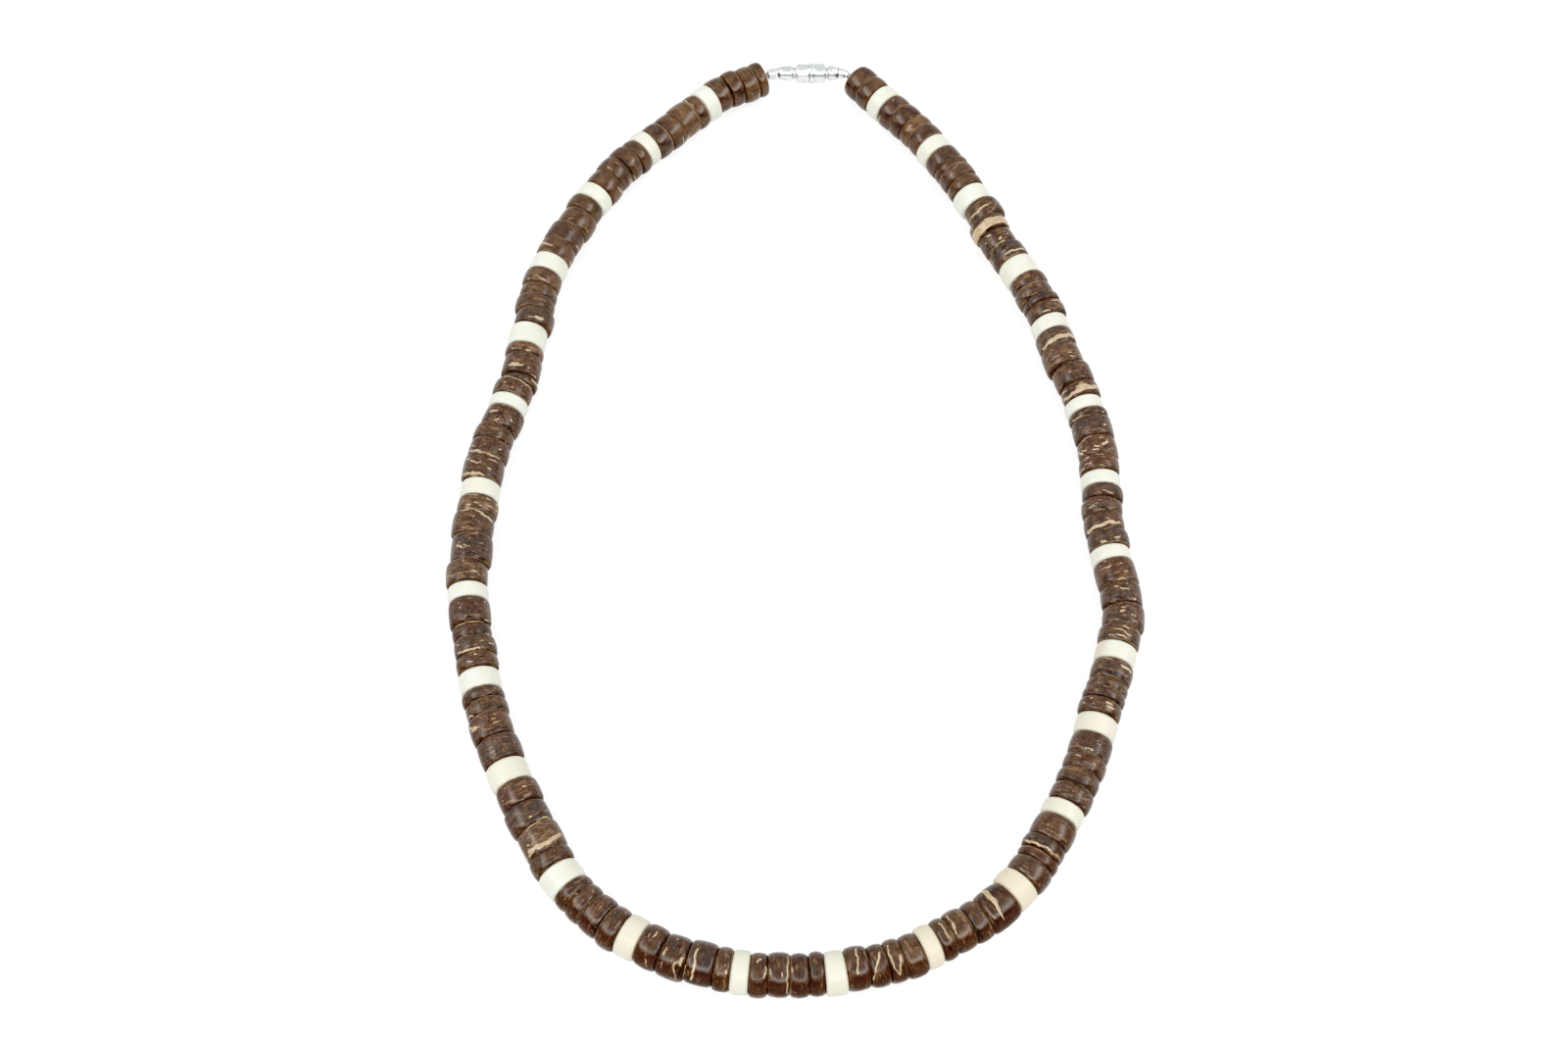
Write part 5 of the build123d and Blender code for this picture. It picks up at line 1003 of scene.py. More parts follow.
def shell_material():
    """Polished coconut shell: mottled brown, fine light fibres that run
    round the rim, short flecks, cream layers where the husk side shows, and
    dark pores. The attributes are in mm in each disk's own frame."""
    g = Graph("coconut_shell")
    own = g.attribute("own_mm", vector=True)      # up, outward, along + offset
    base = g.attribute("shell_colour", vector=True)
    cream = g.attribute("cream")
    tan = g.attribute("tan")
    dark = g.attribute("dark")
    slate = g.attribute("slate")
    deep = g.attribute("deep")
    edge = g.attribute("edge")                    # 1 at the faces, 0 inside
    rim = g.attribute("rim")                      # the same, fading further in
    shade = g.attribute("shade")
    pale = g.attribute("pale")
    busy = g.attribute("busy")
    fleck_share = g.attribute("fleck_share")
    fibre_share = g.attribute("fibre_share")

    lengthwise = g.scaled(own, (0.45, 0.45, 2.6))
    threads = g.scaled(own, (0.55, 0.55, 7.0))
    flecks_at = g.scaled(own, (1.0, 1.0, 2.4))

    mottle = g.noise(own, 0.85, 5.0, 0.66)
    layers = g.noise(lengthwise, 0.9, 3.0, 0.6, 0.4)
    fibre = g.noise(threads, 1.1, 3.0, 0.62, 0.15)
    fibre2 = g.noise(g.added(threads, (31.0, 17.0, 5.0)), 1.7, 2.0, 0.55, 0.1)
    grain = g.noise(own, 6.5, 4.0, 0.65)

    some_busy = g.math("MULTIPLY_ADD", busy, 0.75, 0.25)
    calm = g.noise(g.added(own, (5.0, 2.0, 3.0)), 0.55, 1.0, 0.5)
    ground = g.math("ADD", g.math("MULTIPLY", mottle, some_busy),
                    g.math("MULTIPLY", calm, g.math("SUBTRACT", 1.0, some_busy)))
    colour = g.mix(g.between(ground, 0.38, 0.63), g.mix(0.58, base, (0.034, 0.012, 0.006)),
                   g.mix(0.34, base, (0.190, 0.108, 0.060)))
    colour = g.mix(g.math("MULTIPLY", g.math("MULTIPLY", g.between(layers, 0.56, 0.70), some_busy), 0.45),
                   colour, (0.180, 0.098, 0.044))
    colour = g.mix(g.math("MULTIPLY", g.math("MULTIPLY", g.between(layers, 0.44, 0.31), some_busy), 0.60),
                   colour, (0.030, 0.012, 0.007))
    # ochre streaks and patches, most of them by the faces
    streaks = g.noise(g.scaled(g.added(own, (17.0, 3.0, 29.0)), (0.55, 0.55, 1.7)), 1.0, 3.0, 0.62, 0.3)
    ochre = g.between(g.math("MULTIPLY_ADD", rim, 0.13, streaks), 0.56, 0.70)
    colour = g.mix(g.math("MULTIPLY", ochre, 0.62), colour, (0.178, 0.096, 0.036))
    # charted patches, their outlines broken up by the fibres
    ragged = g.math("MULTIPLY_ADD", g.math("SUBTRACT", fibre, 0.5), 0.90,
                    g.math("MULTIPLY", g.math("SUBTRACT", grain, 0.5), 0.60))
    ragged = g.math("MULTIPLY", ragged, some_busy)
    # painted shade on the rim slopes by the faces, strongest towards the front of the loop
    painted_rim_shade = g.math("MULTIPLY", shade, g.math("MULTIPLY_ADD", ragged, 1.1, 0.85))
    colour = g.mix(g.math("MULTIPLY", g.math("MULTIPLY", painted_rim_shade, some_busy), 0.85), colour,
                   (0.050, 0.023, 0.015))
    # thin pale line by the faces: partly the pale cut edge, partly a painted highlight
    pale_edge_and_highlight_in = g.between(g.math("MULTIPLY_ADD", ragged, 0.9, pale), 0.42, 0.85)
    colour = g.mix(g.math("MULTIPLY", pale_edge_and_highlight_in, 0.66), colour, (0.340, 0.254, 0.172))
    # slate patches: partly the shell's own blue-grey, partly a painted reflection
    slate_and_sheen_in = g.between(g.math("ADD", slate, g.math("MULTIPLY", ragged, 0.6)), 0.40, 0.72)
    colour = g.mix(g.math("MULTIPLY", slate_and_sheen_in, 0.70), colour, (0.050, 0.039, 0.038))
    # painted shade: the deep red brown band on the outer half of the disks along the bottom of the loop
    deep_shade_in = g.between(g.math("ADD", deep, g.math("MULTIPLY", ragged, 0.25)), 0.25, 0.75)
    colour = g.mix(g.math("MULTIPLY", deep_shade_in, 0.64), colour, (0.066, 0.030, 0.019))
    tan_in = g.between(g.math("ADD", tan, ragged), 0.42, 0.66)
    tan_tint = g.mix(g.between(fibre2, 0.35, 0.65), (0.175, 0.098, 0.050), (0.285, 0.172, 0.096))
    colour = g.mix(g.math("MULTIPLY", tan_in, 0.85), colour, tan_tint)
    # dark strokes: dark patches of the shell, those charted by the faces partly painted shade
    dark_in = g.between(g.math("ADD", dark, ragged), 0.42, 0.66)
    colour = g.mix(g.math("MULTIPLY", dark_in, 0.88), colour, (0.020, 0.009, 0.006))
    # dashes that run round the rim, pale and dark, thicker in some patches
    patch = g.noise(g.added(own, (3.0, 8.0, 5.0)), 0.55, 3.0, 0.6)
    dash = g.noise(g.scaled(own, (0.85, 0.85, 3.3)), 1.0, 3.0, 0.62, 0.35)
    dash_from = g.math("SUBTRACT", 0.640, g.math("MULTIPLY", fibre_share, 0.055))
    dash_from = g.math("SUBTRACT", dash_from, g.math("MULTIPLY", g.math("SUBTRACT", patch, 0.5), 0.40))
    pale_dash = g.between(dash, dash_from, g.math("ADD", dash_from, 0.070))
    pale_dash = g.math("MULTIPLY", pale_dash, busy)
    colour = g.mix(g.math("MULTIPLY", pale_dash, 0.72), colour, (0.315, 0.208, 0.118))
    dark_dash = g.math("MULTIPLY", g.between(dash, 0.450, 0.370), some_busy)
    colour = g.mix(g.math("MULTIPLY", dark_dash, 0.66), colour, (0.038, 0.016, 0.009))
    line = g.between(fibre, g.math("SUBTRACT", 0.70, g.math("MULTIPLY", fibre_share, 0.14)), 0.74)
    line = g.math("MULTIPLY", line, busy)
    colour = g.mix(g.math("MULTIPLY", line, 0.60), colour, (0.330, 0.220, 0.130))
    dark_line = g.math("MULTIPLY", g.between(fibre2, 0.42, 0.30), busy)
    colour = g.mix(g.math("MULTIPLY", dark_line, 0.50), colour, (0.026, 0.012, 0.007))
    # short flecks
    spots = g.cells(flecks_at, 1.35)
    spot_size = g.math("MULTIPLY_ADD", g.noise(own, 2.3, 1.0), 0.20,
                       g.math("MULTIPLY", fleck_share, 0.16))
    spot = g.between(spots.outputs["Distance"], spot_size, g.math("SUBTRACT", spot_size, 0.10))
    some = g.between(spots.outputs["Color"], 0.52, 0.64)
    fleck = g.math("MULTIPLY", g.math("MULTIPLY", spot, some), busy)
    colour = g.mix(g.math("MULTIPLY", fleck, 0.70), colour, (0.360, 0.250, 0.165))
    specks = g.cells(g.scaled(own, (1.0, 1.0, 1.8)), 2.7)
    speck = g.math("MULTIPLY", g.between(specks.outputs["Distance"], 0.34, 0.18),
                   g.between(specks.outputs["Color"], 0.58, 0.70))
    speck = g.math("MULTIPLY", speck, busy)
    colour = g.mix(g.math("MULTIPLY", speck, g.math("MULTIPLY_ADD", fleck_share, 0.45, 0.10)),
                   colour, (0.310, 0.215, 0.140))
    cream_in = g.between(g.math("ADD", cream, ragged), 0.43, 0.60)
    cream_tint = g.mix(g.between(fibre2, 0.36, 0.62), (0.350, 0.245, 0.140), (0.600, 0.500, 0.345))
    colour = g.mix(g.math("MULTIPLY", cream_in, 0.95), colour, cream_tint)
    # pores
    pores = g.cells(g.scaled(own, (1.0, 1.0, 1.5)), 2.1)
    pore = g.between(pores.outputs["Distance"], 0.12, 0.05)
    pore = g.math("MULTIPLY", pore, g.between(pores.outputs["Color"], 0.66, 0.72))
    pore = g.math("MULTIPLY", pore, busy)
    colour = g.mix(g.math("MULTIPLY", pore, 0.8), colour, (0.015, 0.008, 0.006))
    # fine grain, and painted shade where the disks meet, turned to a lighter tan in places
    fine = g.mix(g.between(grain, 0.30, 0.70), (0.50, 0.495, 0.495), (1.43, 1.45, 1.48))
    fine = g.mix(g.math("MULTIPLY", g.math("MULTIPLY_ADD", fleck_share, 0.50, 0.50), some_busy),
                 (0.92, 0.91, 0.87), fine)
    colour = g.mix(1.0, colour, fine, "MULTIPLY")
    seam_shade_and_tan = g.between(g.math("MULTIPLY_ADD", ragged, 0.4, edge), 0.35, 0.95)
    worn = g.between(g.noise(g.added(own, (9.0, 4.0, 21.0)), 0.8, 3.0, 0.6), 0.44, 0.60)
    seam_shade_and_tan_tint = g.mix(worn, (0.060, 0.033, 0.022), (0.175, 0.122, 0.084))
    seam_shade_and_tan = g.math("MULTIPLY", seam_shade_and_tan, g.math("MULTIPLY_ADD", pale_edge_and_highlight_in, -0.75, 1.0))
    colour = g.mix(g.math("MULTIPLY", g.math("MULTIPLY", seam_shade_and_tan, some_busy), 0.50), colour, seam_shade_and_tan_tint)
    g.put(g.bsdf.inputs["Base Color"], colour)

    rough = g.math("MULTIPLY_ADD", grain, 0.14, 0.11)
    rough = g.math("ADD", rough, g.math("MULTIPLY", cream_in, 0.12))
    rough = g.math("ADD", rough, g.math("MULTIPLY", g.between(edge, 0.5, 1.0), 0.25))
    g.put(g.bsdf.inputs["Roughness"], rough)
    # polished in the middle of the rim, dull where it turns into the faces
    shiny = g.math("MULTIPLY_ADD", deep_shade_in, -0.36, 0.50)
    dull = g.math("MULTIPLY_ADD", g.between(rim, 0.30, 0.85), -0.70, 1.0)
    g.put(g.bsdf.inputs["Specular IOR Level"], g.math("MULTIPLY", shiny, dull))
    height = g.math("MULTIPLY_ADD", fibre, 0.55, g.math("MULTIPLY", grain, 0.35))
    height = g.math("SUBTRACT", height, g.math("MULTIPLY", pore, 0.8))
    height = g.math("SUBTRACT", height, g.math("MULTIPLY", dark_in, 0.35))
    height = g.math("MULTIPLY", height, some_busy)
    g.put(g.bsdf.inputs["Normal"], g.bump(height, 0.30, 0.00010))
    g.bsdf.inputs["IOR"].default_value = 1.6
    return g.material


def cream_material():
    """Cream shell bead: smooth, satin, faintly clouded and banded, a little
    light passing through, brown dust in the fine pits at its rims."""
    g = Graph("cream_shell")
    own = g.attribute("own_mm", vector=True)
    warm = g.attribute("warm")
    edge = g.attribute("edge")
    stain = g.attribute("stain")
    bands = g.noise(g.scaled(own, (0.25, 0.25, 2.2)), 1.0, 3.0, 0.55, 0.4)
    cloud = g.noise(own, 0.33, 3.0, 0.5)
    grain = g.noise(own, 5.0, 4.0, 0.6)
    colour = g.mix(g.between(cloud, 0.35, 0.65), (0.606, 0.614, 0.534), (0.624, 0.640, 0.592))
    colour = g.mix(g.math("MULTIPLY", g.between(bands, 0.52, 0.72), 0.5), colour, (0.640, 0.590, 0.470))
    colour = g.mix(g.math("MULTIPLY", warm, 0.75), colour, (0.590, 0.515, 0.370))
    soiled = g.between(g.math("MULTIPLY_ADD", g.math("SUBTRACT", cloud, 0.5), 0.8, stain), 0.35, 0.85)
    colour = g.mix(g.math("MULTIPLY", soiled, 0.55), colour, (0.560, 0.440, 0.380))
    colour = g.mix(g.math("MULTIPLY", g.between(edge, 0.55, 1.0), 0.30), colour, (0.640, 0.500, 0.340))
    pits = g.cells(own, 1.6)
    pit = g.math("MULTIPLY", g.between(pits.outputs["Distance"], 0.10, 0.04),
                 g.between(pits.outputs["Color"], 0.60, 0.66))
    colour = g.mix(g.math("MULTIPLY", pit, 0.35), colour, (0.500, 0.380, 0.260))
    g.put(g.bsdf.inputs["Base Color"], colour)
    g.put(g.bsdf.inputs["Roughness"], g.math("MULTIPLY_ADD", grain, 0.18, 0.30))
    height = g.math("SUBTRACT", g.math("MULTIPLY_ADD", bands, 0.5, g.math("MULTIPLY", grain, 0.25)),
                    g.math("MULTIPLY", pit, 0.7))
    g.put(g.bsdf.inputs["Normal"], g.bump(height, 0.22, 0.00010))
    g.bsdf.inputs["Subsurface Weight"].default_value = 0.12
    g.bsdf.inputs["Subsurface Radius"].default_value = (0.0012, 0.0008, 0.0005)
    g.bsdf.inputs["Subsurface Scale"].default_value = 1.0
    g.bsdf.inputs["IOR"].default_value = 1.5
    return g.material


def metal_material(name, tint, rough):
    """Plated clasp metal: bright, with turning lines, rubbed patches and
    darker grime in its grooves."""
    g = Graph(name)
    own = g.attribute("own_mm", vector=True)
    groove = g.attribute("groove")
    lines = g.noise(g.scaled(own, (0.15, 0.15, 9.0)), 2.0, 2.0, 0.5)
    rubbed = g.noise(own, 1.1, 3.0, 0.55)
    grain = g.noise(own, 9.0, 3.0, 0.6)
    colour = g.mix(g.between(rubbed, 0.38, 0.66), tint, tuple(c * 0.86 for c in tint))
    grimy = g.between(g.math("MULTIPLY_ADD", g.math("SUBTRACT", grain, 0.5), 0.6, groove), 0.35, 0.95)
    colour = g.mix(g.math("MULTIPLY", grimy, 0.50), colour, (0.500, 0.510, 0.480))
    g.put(g.bsdf.inputs["Base Color"], colour)
    g.bsdf.inputs["Metallic"].default_value = 1.0
    r = g.math("MULTIPLY_ADD", rubbed, 0.16, rough - 0.06)
    r = g.math("MULTIPLY_ADD", g.between(lines, 0.45, 0.7), 0.08, r)
    r = g.math("MULTIPLY_ADD", grimy, 0.25, r)
    g.put(g.bsdf.inputs["Roughness"], r)
    height = g.math("MULTIPLY_ADD", lines, 0.6, g.math("MULTIPLY", grain, 0.3))
    g.put(g.bsdf.inputs["Normal"], g.bump(height, 0.08, 0.00005))
    return g.material


def thread_material():
    """Waxed nylon thread: off-white, laid in a fine twist."""
    g = Graph("nylon_thread")
    place_at = g.node("ShaderNodeTexCoord").outputs["Object"]
    mm = g.scaled(place_at, (1000.0, 1000.0, 1000.0))
    wave = g.node("ShaderNodeTexWave", wave_type="BANDS", bands_direction="DIAGONAL")
    g.put(wave.inputs["Vector"], mm)
    wave.inputs["Scale"].default_value = 1.6
    wave.inputs["Distortion"].default_value = 1.2
    wave.inputs["Detail"].default_value = 2.0
    grain = g.noise(mm, 7.0, 3.0, 0.6)
    colour = g.mix(wave.outputs["Fac"], (0.560, 0.530, 0.470), (0.800, 0.785, 0.730))
    colour = g.mix(g.math("MULTIPLY", g.between(grain, 0.5, 0.75), 0.4), colour, (0.480, 0.420, 0.340))
    g.put(g.bsdf.inputs["Base Color"], colour)
    g.put(g.bsdf.inputs["Roughness"], g.math("MULTIPLY_ADD", grain, 0.25, 0.38))
    height = g.math("MULTIPLY_ADD", wave.outputs["Fac"], 0.8, g.math("MULTIPLY", grain, 0.2))
    g.put(g.bsdf.inputs["Normal"], g.bump(height, 0.5, 0.00008))
    return g.material


SHELL_MATERIAL = shell_material()
CREAM_MATERIAL = cream_material()
METAL_MATERIAL = metal_material("clasp_metal", (0.790, 0.812, 0.820), 0.20)
CRIMP_MATERIAL = metal_material("crimp_metal", (0.810, 0.832, 0.838), 0.30)
THREAD_MATERIAL = thread_material()

# ------------------------------------------------------------ coconut disks
# closer round the top than underneath
ROUND_DISK = np.radians(np.concatenate([np.linspace(-105, 105, 47),
                                        np.linspace(105, 255, 18)[1:-1]]))
AROUND = len(ROUND_DISK)
BORE = 0.9
ROUNDING = 0.8


def coco_disk(i, b):
    """Vertices, faces and attributes of one coconut disk."""
    rng = np.random.default_rng(SEED + 17 * i)
    length, od, step, rounding, tone = b["disk"]
    radius = od / 2
    low, high = b["low"], b["high"]
    room = (high - low) / 2 * 0.90
    rounding = rounding * (0.65 if b["row"] in (1, 2, 26, 27, 28) else 1.25 if 11 <= b["row"] <= 16 else 1.0)
    round_low = min(ROUNDING * rounding * rng.uniform(0.85, 1.15), room)
    round_high = min(ROUNDING * rounding * rng.uniform(0.85, 1.15), room)
    outline = rounded_outline(low, high, radius, round_low, round_high, BORE,
                              rng.uniform(0.02, 0.07), 0.42)
    rows = len(outline)
    theta = np.tile(ROUND_DISK, rows)
    z = np.repeat(outline[:, 0], AROUND)
    r = np.repeat(outline[:, 1], AROUND)
    outside = np.clip((r - BORE - 0.3) / (radius - BORE - 0.3), 0, 1)
    # polished rims are a little barrel shaped, most of all near the clasp
    crown = 0.16 if b["row"] in (1, 2, 26, 27, 28) else 0.05
    r = r - crown * ((z - (low + high) / 2) / ((high - low) / 2)) ** 2 * outside

    # slightly out of round, and never the same from one face to the other
    waves = around_waves(rng, theta, z, (2, 3, 4, 5, 7), 0.035)
    waves += 0.02 * rng.normal() * z / length
    r = r + waves * outside ** 2
    # faces sawn not quite square
    skew = around_waves(rng, theta, z * 0, (1, 2), 0.02) * r / radius
    z = z + skew * np.clip((np.abs(z - (low + high) / 2) / ((high - low) / 2)) ** 3, 0, 1) * 0.5
    # nicks along the two rims
    for _ in range(rng.integers(2, 6)):
        at = rng.uniform(-math.pi, math.pi)
        end = rng.choice([low, high])
        wide, deep = rng.uniform(0.15, 0.5), rng.uniform(0.04, 0.16)
        dist = np.hypot(shorter_way(theta - at) * radius / wide / 1.6,
                        (z - end) / (wide * 1.3))
        r = r - deep * np.exp(-dist ** 2) * outside

    # charted markings, then others round the sides that the chart leaves out
    fields = {key: np.zeros_like(theta) for key in SHELL_TONES}
    wander = (0.07 * np.sin(theta * rng.uniform(7, 11) + rng.uniform(0, 6))
              + 0.04 * np.sin(theta * rng.uniform(17, 25) + rng.uniform(0, 6)))
    busy = dict(BUSY).get(b["row"], 1.0)
    near = 1.0 if 4 <= b["row"] <= 23 else 0.0
    seen = []
    for row, number, key, u0, a0, u1, a1, half in MARKS:
        if row == b["row"] and number == b["number"]:
            z0, z1 = low + (high - low) * u0, low + (high - low) * u1
            t0, t1 = math.radians(a0), math.radians(a1)
            crisp = max(busy, near)
            soft = {"slate": 1.1, "tan": 0.7}.get(key, 0.5) * (2.8 - 1.8 * crisp)
            fields[key] = np.maximum(fields[key], (0.85 + 0.15 * crisp) * stroke(
                theta, z + wander, radius, (z0, t0), (z1, t1), half, soft))
            seen.append((t0 + t1) / 2)
    # painted shade: a deep red brown band on the outer half of the disks along the bottom of the loop
    for first, last, angle, half, strong in DEEP_SHADE_BAND:
        if first <= b["row"] <= last:
            at = math.radians(angle) + rng.normal(0, 0.05)
            tip, bend = rng.normal(0, 0.07), rng.normal(0.06, 0.09)
            bent = theta + bend * (2 * (z - low) / (high - low) - 1) ** 2
            fields["deep"] = strong * stroke(bent, z, radius, (low + 0.5, at - tip), (high - 0.5, at + tip),
                                             half * rng.uniform(0.88, 1.12), 1.3)
    # each rim gets painted shade, strongest on the side towards the front of the
    # loop, and a thin pale line by the faces, partly the pale cut edge and partly a painted highlight
    facing = -math.sin(b["at"][2])
    front, back = (high - z, z - low) if facing > 0 else (z - low, high - z)
    ripple = (0.10 * np.sin(theta * rng.uniform(3, 6) + rng.uniform(0, 6))
              + 0.06 * np.sin(theta * rng.uniform(9, 15) + rng.uniform(0, 6)))
    share = 0.35 + 0.65 * abs(facing)
    if b["row"] in (1, 2, 27, 28):
        share *= 0.4
    elif 9 <= b["row"] <= 19:
        share = max(share, 0.80) * 1.35
    dark_side = np.clip(1.3 - np.abs(front - 0.40) / 0.50 + ripple, 0, 1)
    other_side = np.clip(1.2 - np.abs(back - 0.45) / 0.36 + ripple, 0, 1)
    fields["shade"] = np.maximum(dark_side * share * rng.uniform(0.60, 1.15),
                                 other_side * rng.uniform(0.1, 0.80)).clip(0, 1)
    wide = 2.6 if b["row"] in (1, 26, 27, 28) else 1.0
    fields["pale"] = (0.8 if b["row"] in (1, 26, 27, 28) else 1.0) * np.maximum(
        np.clip(1.4 - np.abs(back - 0.10) / (0.16 * wide) + ripple, 0, 1) * rng.choice([0.4, 0.8, 1.15]),
        np.clip(1.2 - np.abs(front - 0.06) / 0.13 + ripple, 0, 1) * rng.choice([0.1, 0.4, 0.9]))
    for _ in range(rng.integers(5, 10)):
        at = rng.uniform(math.radians(95), math.radians(265))
        span = rng.uniform(0.1, 0.9)
        key = rng.choice(["cream", "cream", "tan", "tan", "dark"])
        z0 = rng.uniform(low * 0.9, high * 0.9)
        z1 = z0 + rng.normal(0, 0.25)
        half = rng.uniform(0.05, 0.20)
        fields[key] = np.maximum(fields[key], stroke(
            theta, z, radius, (z0, at), (z1, at + span), half, 0.5))

    # cut layers stand a little proud of, or below, the polished rim
    r = r + outside * (0.025 * (fields["cream"] > 0.5) - 0.05 * np.clip(fields["dark"] - 0.4, 0, 1))

    # edge marks the faces and the V where two disks meet, where the shell material paints shade
    inner = np.minimum(z - low, high - z)
    edge = np.where(r < radius - max(round_low, round_high) * 0.41, 1.0,
                    np.clip(1 - inner / 0.10, 0, 1))
    rim = np.clip(1 - inner / 0.55, 0, 1)
    shift = np.array([i * 13.7 % 97, i * 7.31 % 89, i * 5.9 % 83])
    local = np.stack([r * np.cos(theta), r * np.sin(theta), z], 1)
    leaning = local.copy()
    leaning[:, 2] = lean(b, z, local[:, 1])
    tilt = 0.5 if (b["row"], b["number"]) != (24, 1) else 0.3
    yaw = math.radians(rng.normal(0, tilt))
    pitch = math.radians(rng.normal(0, tilt * 0.7))
    if (b["row"], b["number"]) == (24, 1):
        yaw += math.radians(-3.0)
    # the disk stands off the thread to one side, while its bore stays on it
    lift = max(r.max() + 0.04, AXIS_HEIGHT - 0.12 + rng.uniform(0, 0.06))
    off = np.clip((r - BORE - 0.15) / 0.9, 0, 1)
    leaning[:, 0] += (lift - AXIS_HEIGHT) * off
    leaning[:, 1] += step * off
    verts = place(b, leaning, yaw, pitch)
    colour = np.array(SHELL[tone]) * rng.uniform(0.88, 1.06)
    n = len(theta)
    attributes = {
        "own_mm": local + shift,
        "shell_colour": np.tile(colour, (n, 1)),
        "edge": edge * (0.55 if b["row"] in (1, 2, 27, 28) else 1.0),
        "rim": rim,
        "busy": np.full(n, busy),
        "fleck_share": np.full(n, rng.uniform(0.2, 1.0)),
        "fibre_share": np.full(n, rng.uniform(0.1, 1.0)),
        **fields,
    }
    # the outline runs so that the faces point outwards
    faces = lathe_faces(rows, AROUND, True)
    return verts, faces, attributes


def join(parts):
    """Several (vertices, faces, attributes) as one."""
    verts, faces, at = [], [], 0
    for v, f, _ in parts:
        verts.append(v)
        faces.append(f + at)
        at += len(v)
    keys = parts[0][2].keys()
    return (np.concatenate(verts), np.concatenate(faces),
            {k: np.concatenate([p[2][k] for p in parts]) for k in keys})


def finish_piece(obj, slot_name, *node_names):
    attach(obj, "root")
    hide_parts(*node_names)
    return obj


for row in range(1, len(STRING) + 1):
    made = [coco_disk(i, b) for i, b in enumerate(BEADS)
            if b["kind"] == "coco" and b["row"] == row]
    verts, faces, attributes = join(made)
    obj = make_mesh("coconut_disks_%02d" % row, verts, faces, attributes, SHELL_MATERIAL)
    finish_piece(obj, "coconut_shell", "coco_run_%02d" % row)

# -------------------------------------------------------------- cream beads
# Columns: how yellow (0 to 1), how stained on its inner side (0 to 1).
CREAM = [
    (0.10, 0.0), (0.05, 0.0), (0.05, 0.0), (0.25, 0.0), (0.10, 0.0), (0.05, 0.0),
    (0.05, 0.0), (0.15, 0.2), (0.10, 0.9), (0.50, 0.1), (0.25, 0.0), (0.82, 0.0),
    (0.70, 0.1), (0.30, 0.0), (0.25, 0.2), (0.45, 0.0), (0.15, 0.3), (0.38, 0.0),
    (0.10, 0.1), (0.05, 0.0), (0.15, 0.0), (0.00, 0.0), (0.05, 0.0), (0.10, 0.0),
    (0.10, 0.0), (0.15, 0.0), (0.05, 0.0),
]
CREAM_AROUND = 64


def cream_bead(i, b):
    rng = np.random.default_rng(SEED + 23 * i)
    low, high = b["low"], b["high"]
    mid, half = (low + high) / 2, (high - low) / 2
    end_r, mid_r = 3.55, 3.68
    rounding = min(0.55 * rng.uniform(0.9, 1.1), half * 0.75)
    outline = rounded_outline(low, high, end_r, rounding, rounding, BORE, 0.0, 0.80, 0.15)
    crown = (mid_r - end_r) * (1 - ((outline[:, 0] - mid) / half) ** 2)
    outline[:, 1] += crown * np.clip((outline[:, 1] - 1.5) / 1.5, 0, 1)
    rows = len(outline)
    theta = np.tile(np.linspace(0, 2 * math.pi, CREAM_AROUND, endpoint=False), rows)
    z = np.repeat(outline[:, 0], CREAM_AROUND)
    r = np.repeat(outline[:, 1], CREAM_AROUND)
    outside = np.clip((r - 1.2) / 2.3, 0, 1)
    r = r + around_waves(rng, theta, z, (2, 3, 5), 0.012) * outside ** 2
    for _ in range(rng.integers(0, 3)):
        at, end = rng.uniform(-math.pi, math.pi), rng.choice([low, high])
        dist = np.hypot(shorter_way(theta - at) * 3.6 / 0.5, (z - end) / 0.4)
        r = r - rng.uniform(0.02, 0.07) * np.exp(-dist ** 2) * outside
    warm, stain = CREAM[b["row"] - 1]
    # painted shade: the beads along the bottom of the loop are made a little darker and yellower
    if 11 <= b["row"] <= 16:
        warm = min(1.0, warm + 0.12)
    local = np.stack([r * np.cos(theta), r * np.sin(theta), z], 1)
    inner = np.minimum(z - low, high - z)
    edge = np.where(r < end_r - rounding * 0.78, 1.0, np.clip(1 - inner / 0.16, 0, 1))
    stained = stain * np.clip(0.5 - 0.9 * np.sin(theta + 0.5), 0, 1)
    shift = np.array([i * 11.3 % 97, i * 5.77 % 89, i * 9.1 % 83])
    leaning = local.copy()
    leaning[:, 2] = lean(b, z, local[:, 1])
    verts = place(b, leaning, math.radians(rng.normal(0, 0.3)), math.radians(rng.normal(0, 0.2)))
    attributes = {"own_mm": local + shift, "warm": np.full(len(z), warm),
                  "stain": stained, "edge": edge}
    return verts, lathe_faces(rows, CREAM_AROUND, True), attributes


for i, b in enumerate(BEADS):
    if b["kind"] == "white":
        verts, faces, attributes = cream_bead(i, b)
        obj = make_mesh("cream_bead_%02d" % b["row"], verts, faces, attributes, CREAM_MATERIAL)
        finish_piece(obj, "cream_shell", "white_bead_%02d" % b["row"])

# -------------------------------------------------------------------- clasp
# Turned outlines, from where the halves meet outwards. Columns: distance,
# radius, and how grimy the place is (0 to 1).
CLASP_LEFT = [
    (0.04, 1.35, 0.6), (0.04, 1.80, 0.5), (0.10, 1.93, 0.3), (0.25, 1.99, 0.0),
    (0.60, 2.00, 0.0), (1.20, 2.00, 0.0), (2.10, 2.00, 0.0), (2.40, 1.97, 0.0),
    (2.58, 1.88, 0.1), (2.68, 1.72, 0.4), (2.70, 1.40, 0.8), (2.74, 1.20, 1.0),
    (2.90, 1.14, 0.9), (3.25, 1.14, 0.9), (3.42, 1.18, 0.9), (3.50, 1.28, 0.6),
    (3.58, 1.40, 0.3), (3.75, 1.48, 0.0), (4.10, 1.50, 0.0), (4.55, 1.49, 0.0),
    (5.20, 1.48, 0.0), (5.75, 1.43, 0.0), (6.10, 1.34, 0.0), (6.30, 1.24, 0.0),
    (6.41, 1.15, 0.0), (6.44, 1.02, 0.2), (6.34, 0.90, 0.6), (4.60, 0.90, 1.0),
]
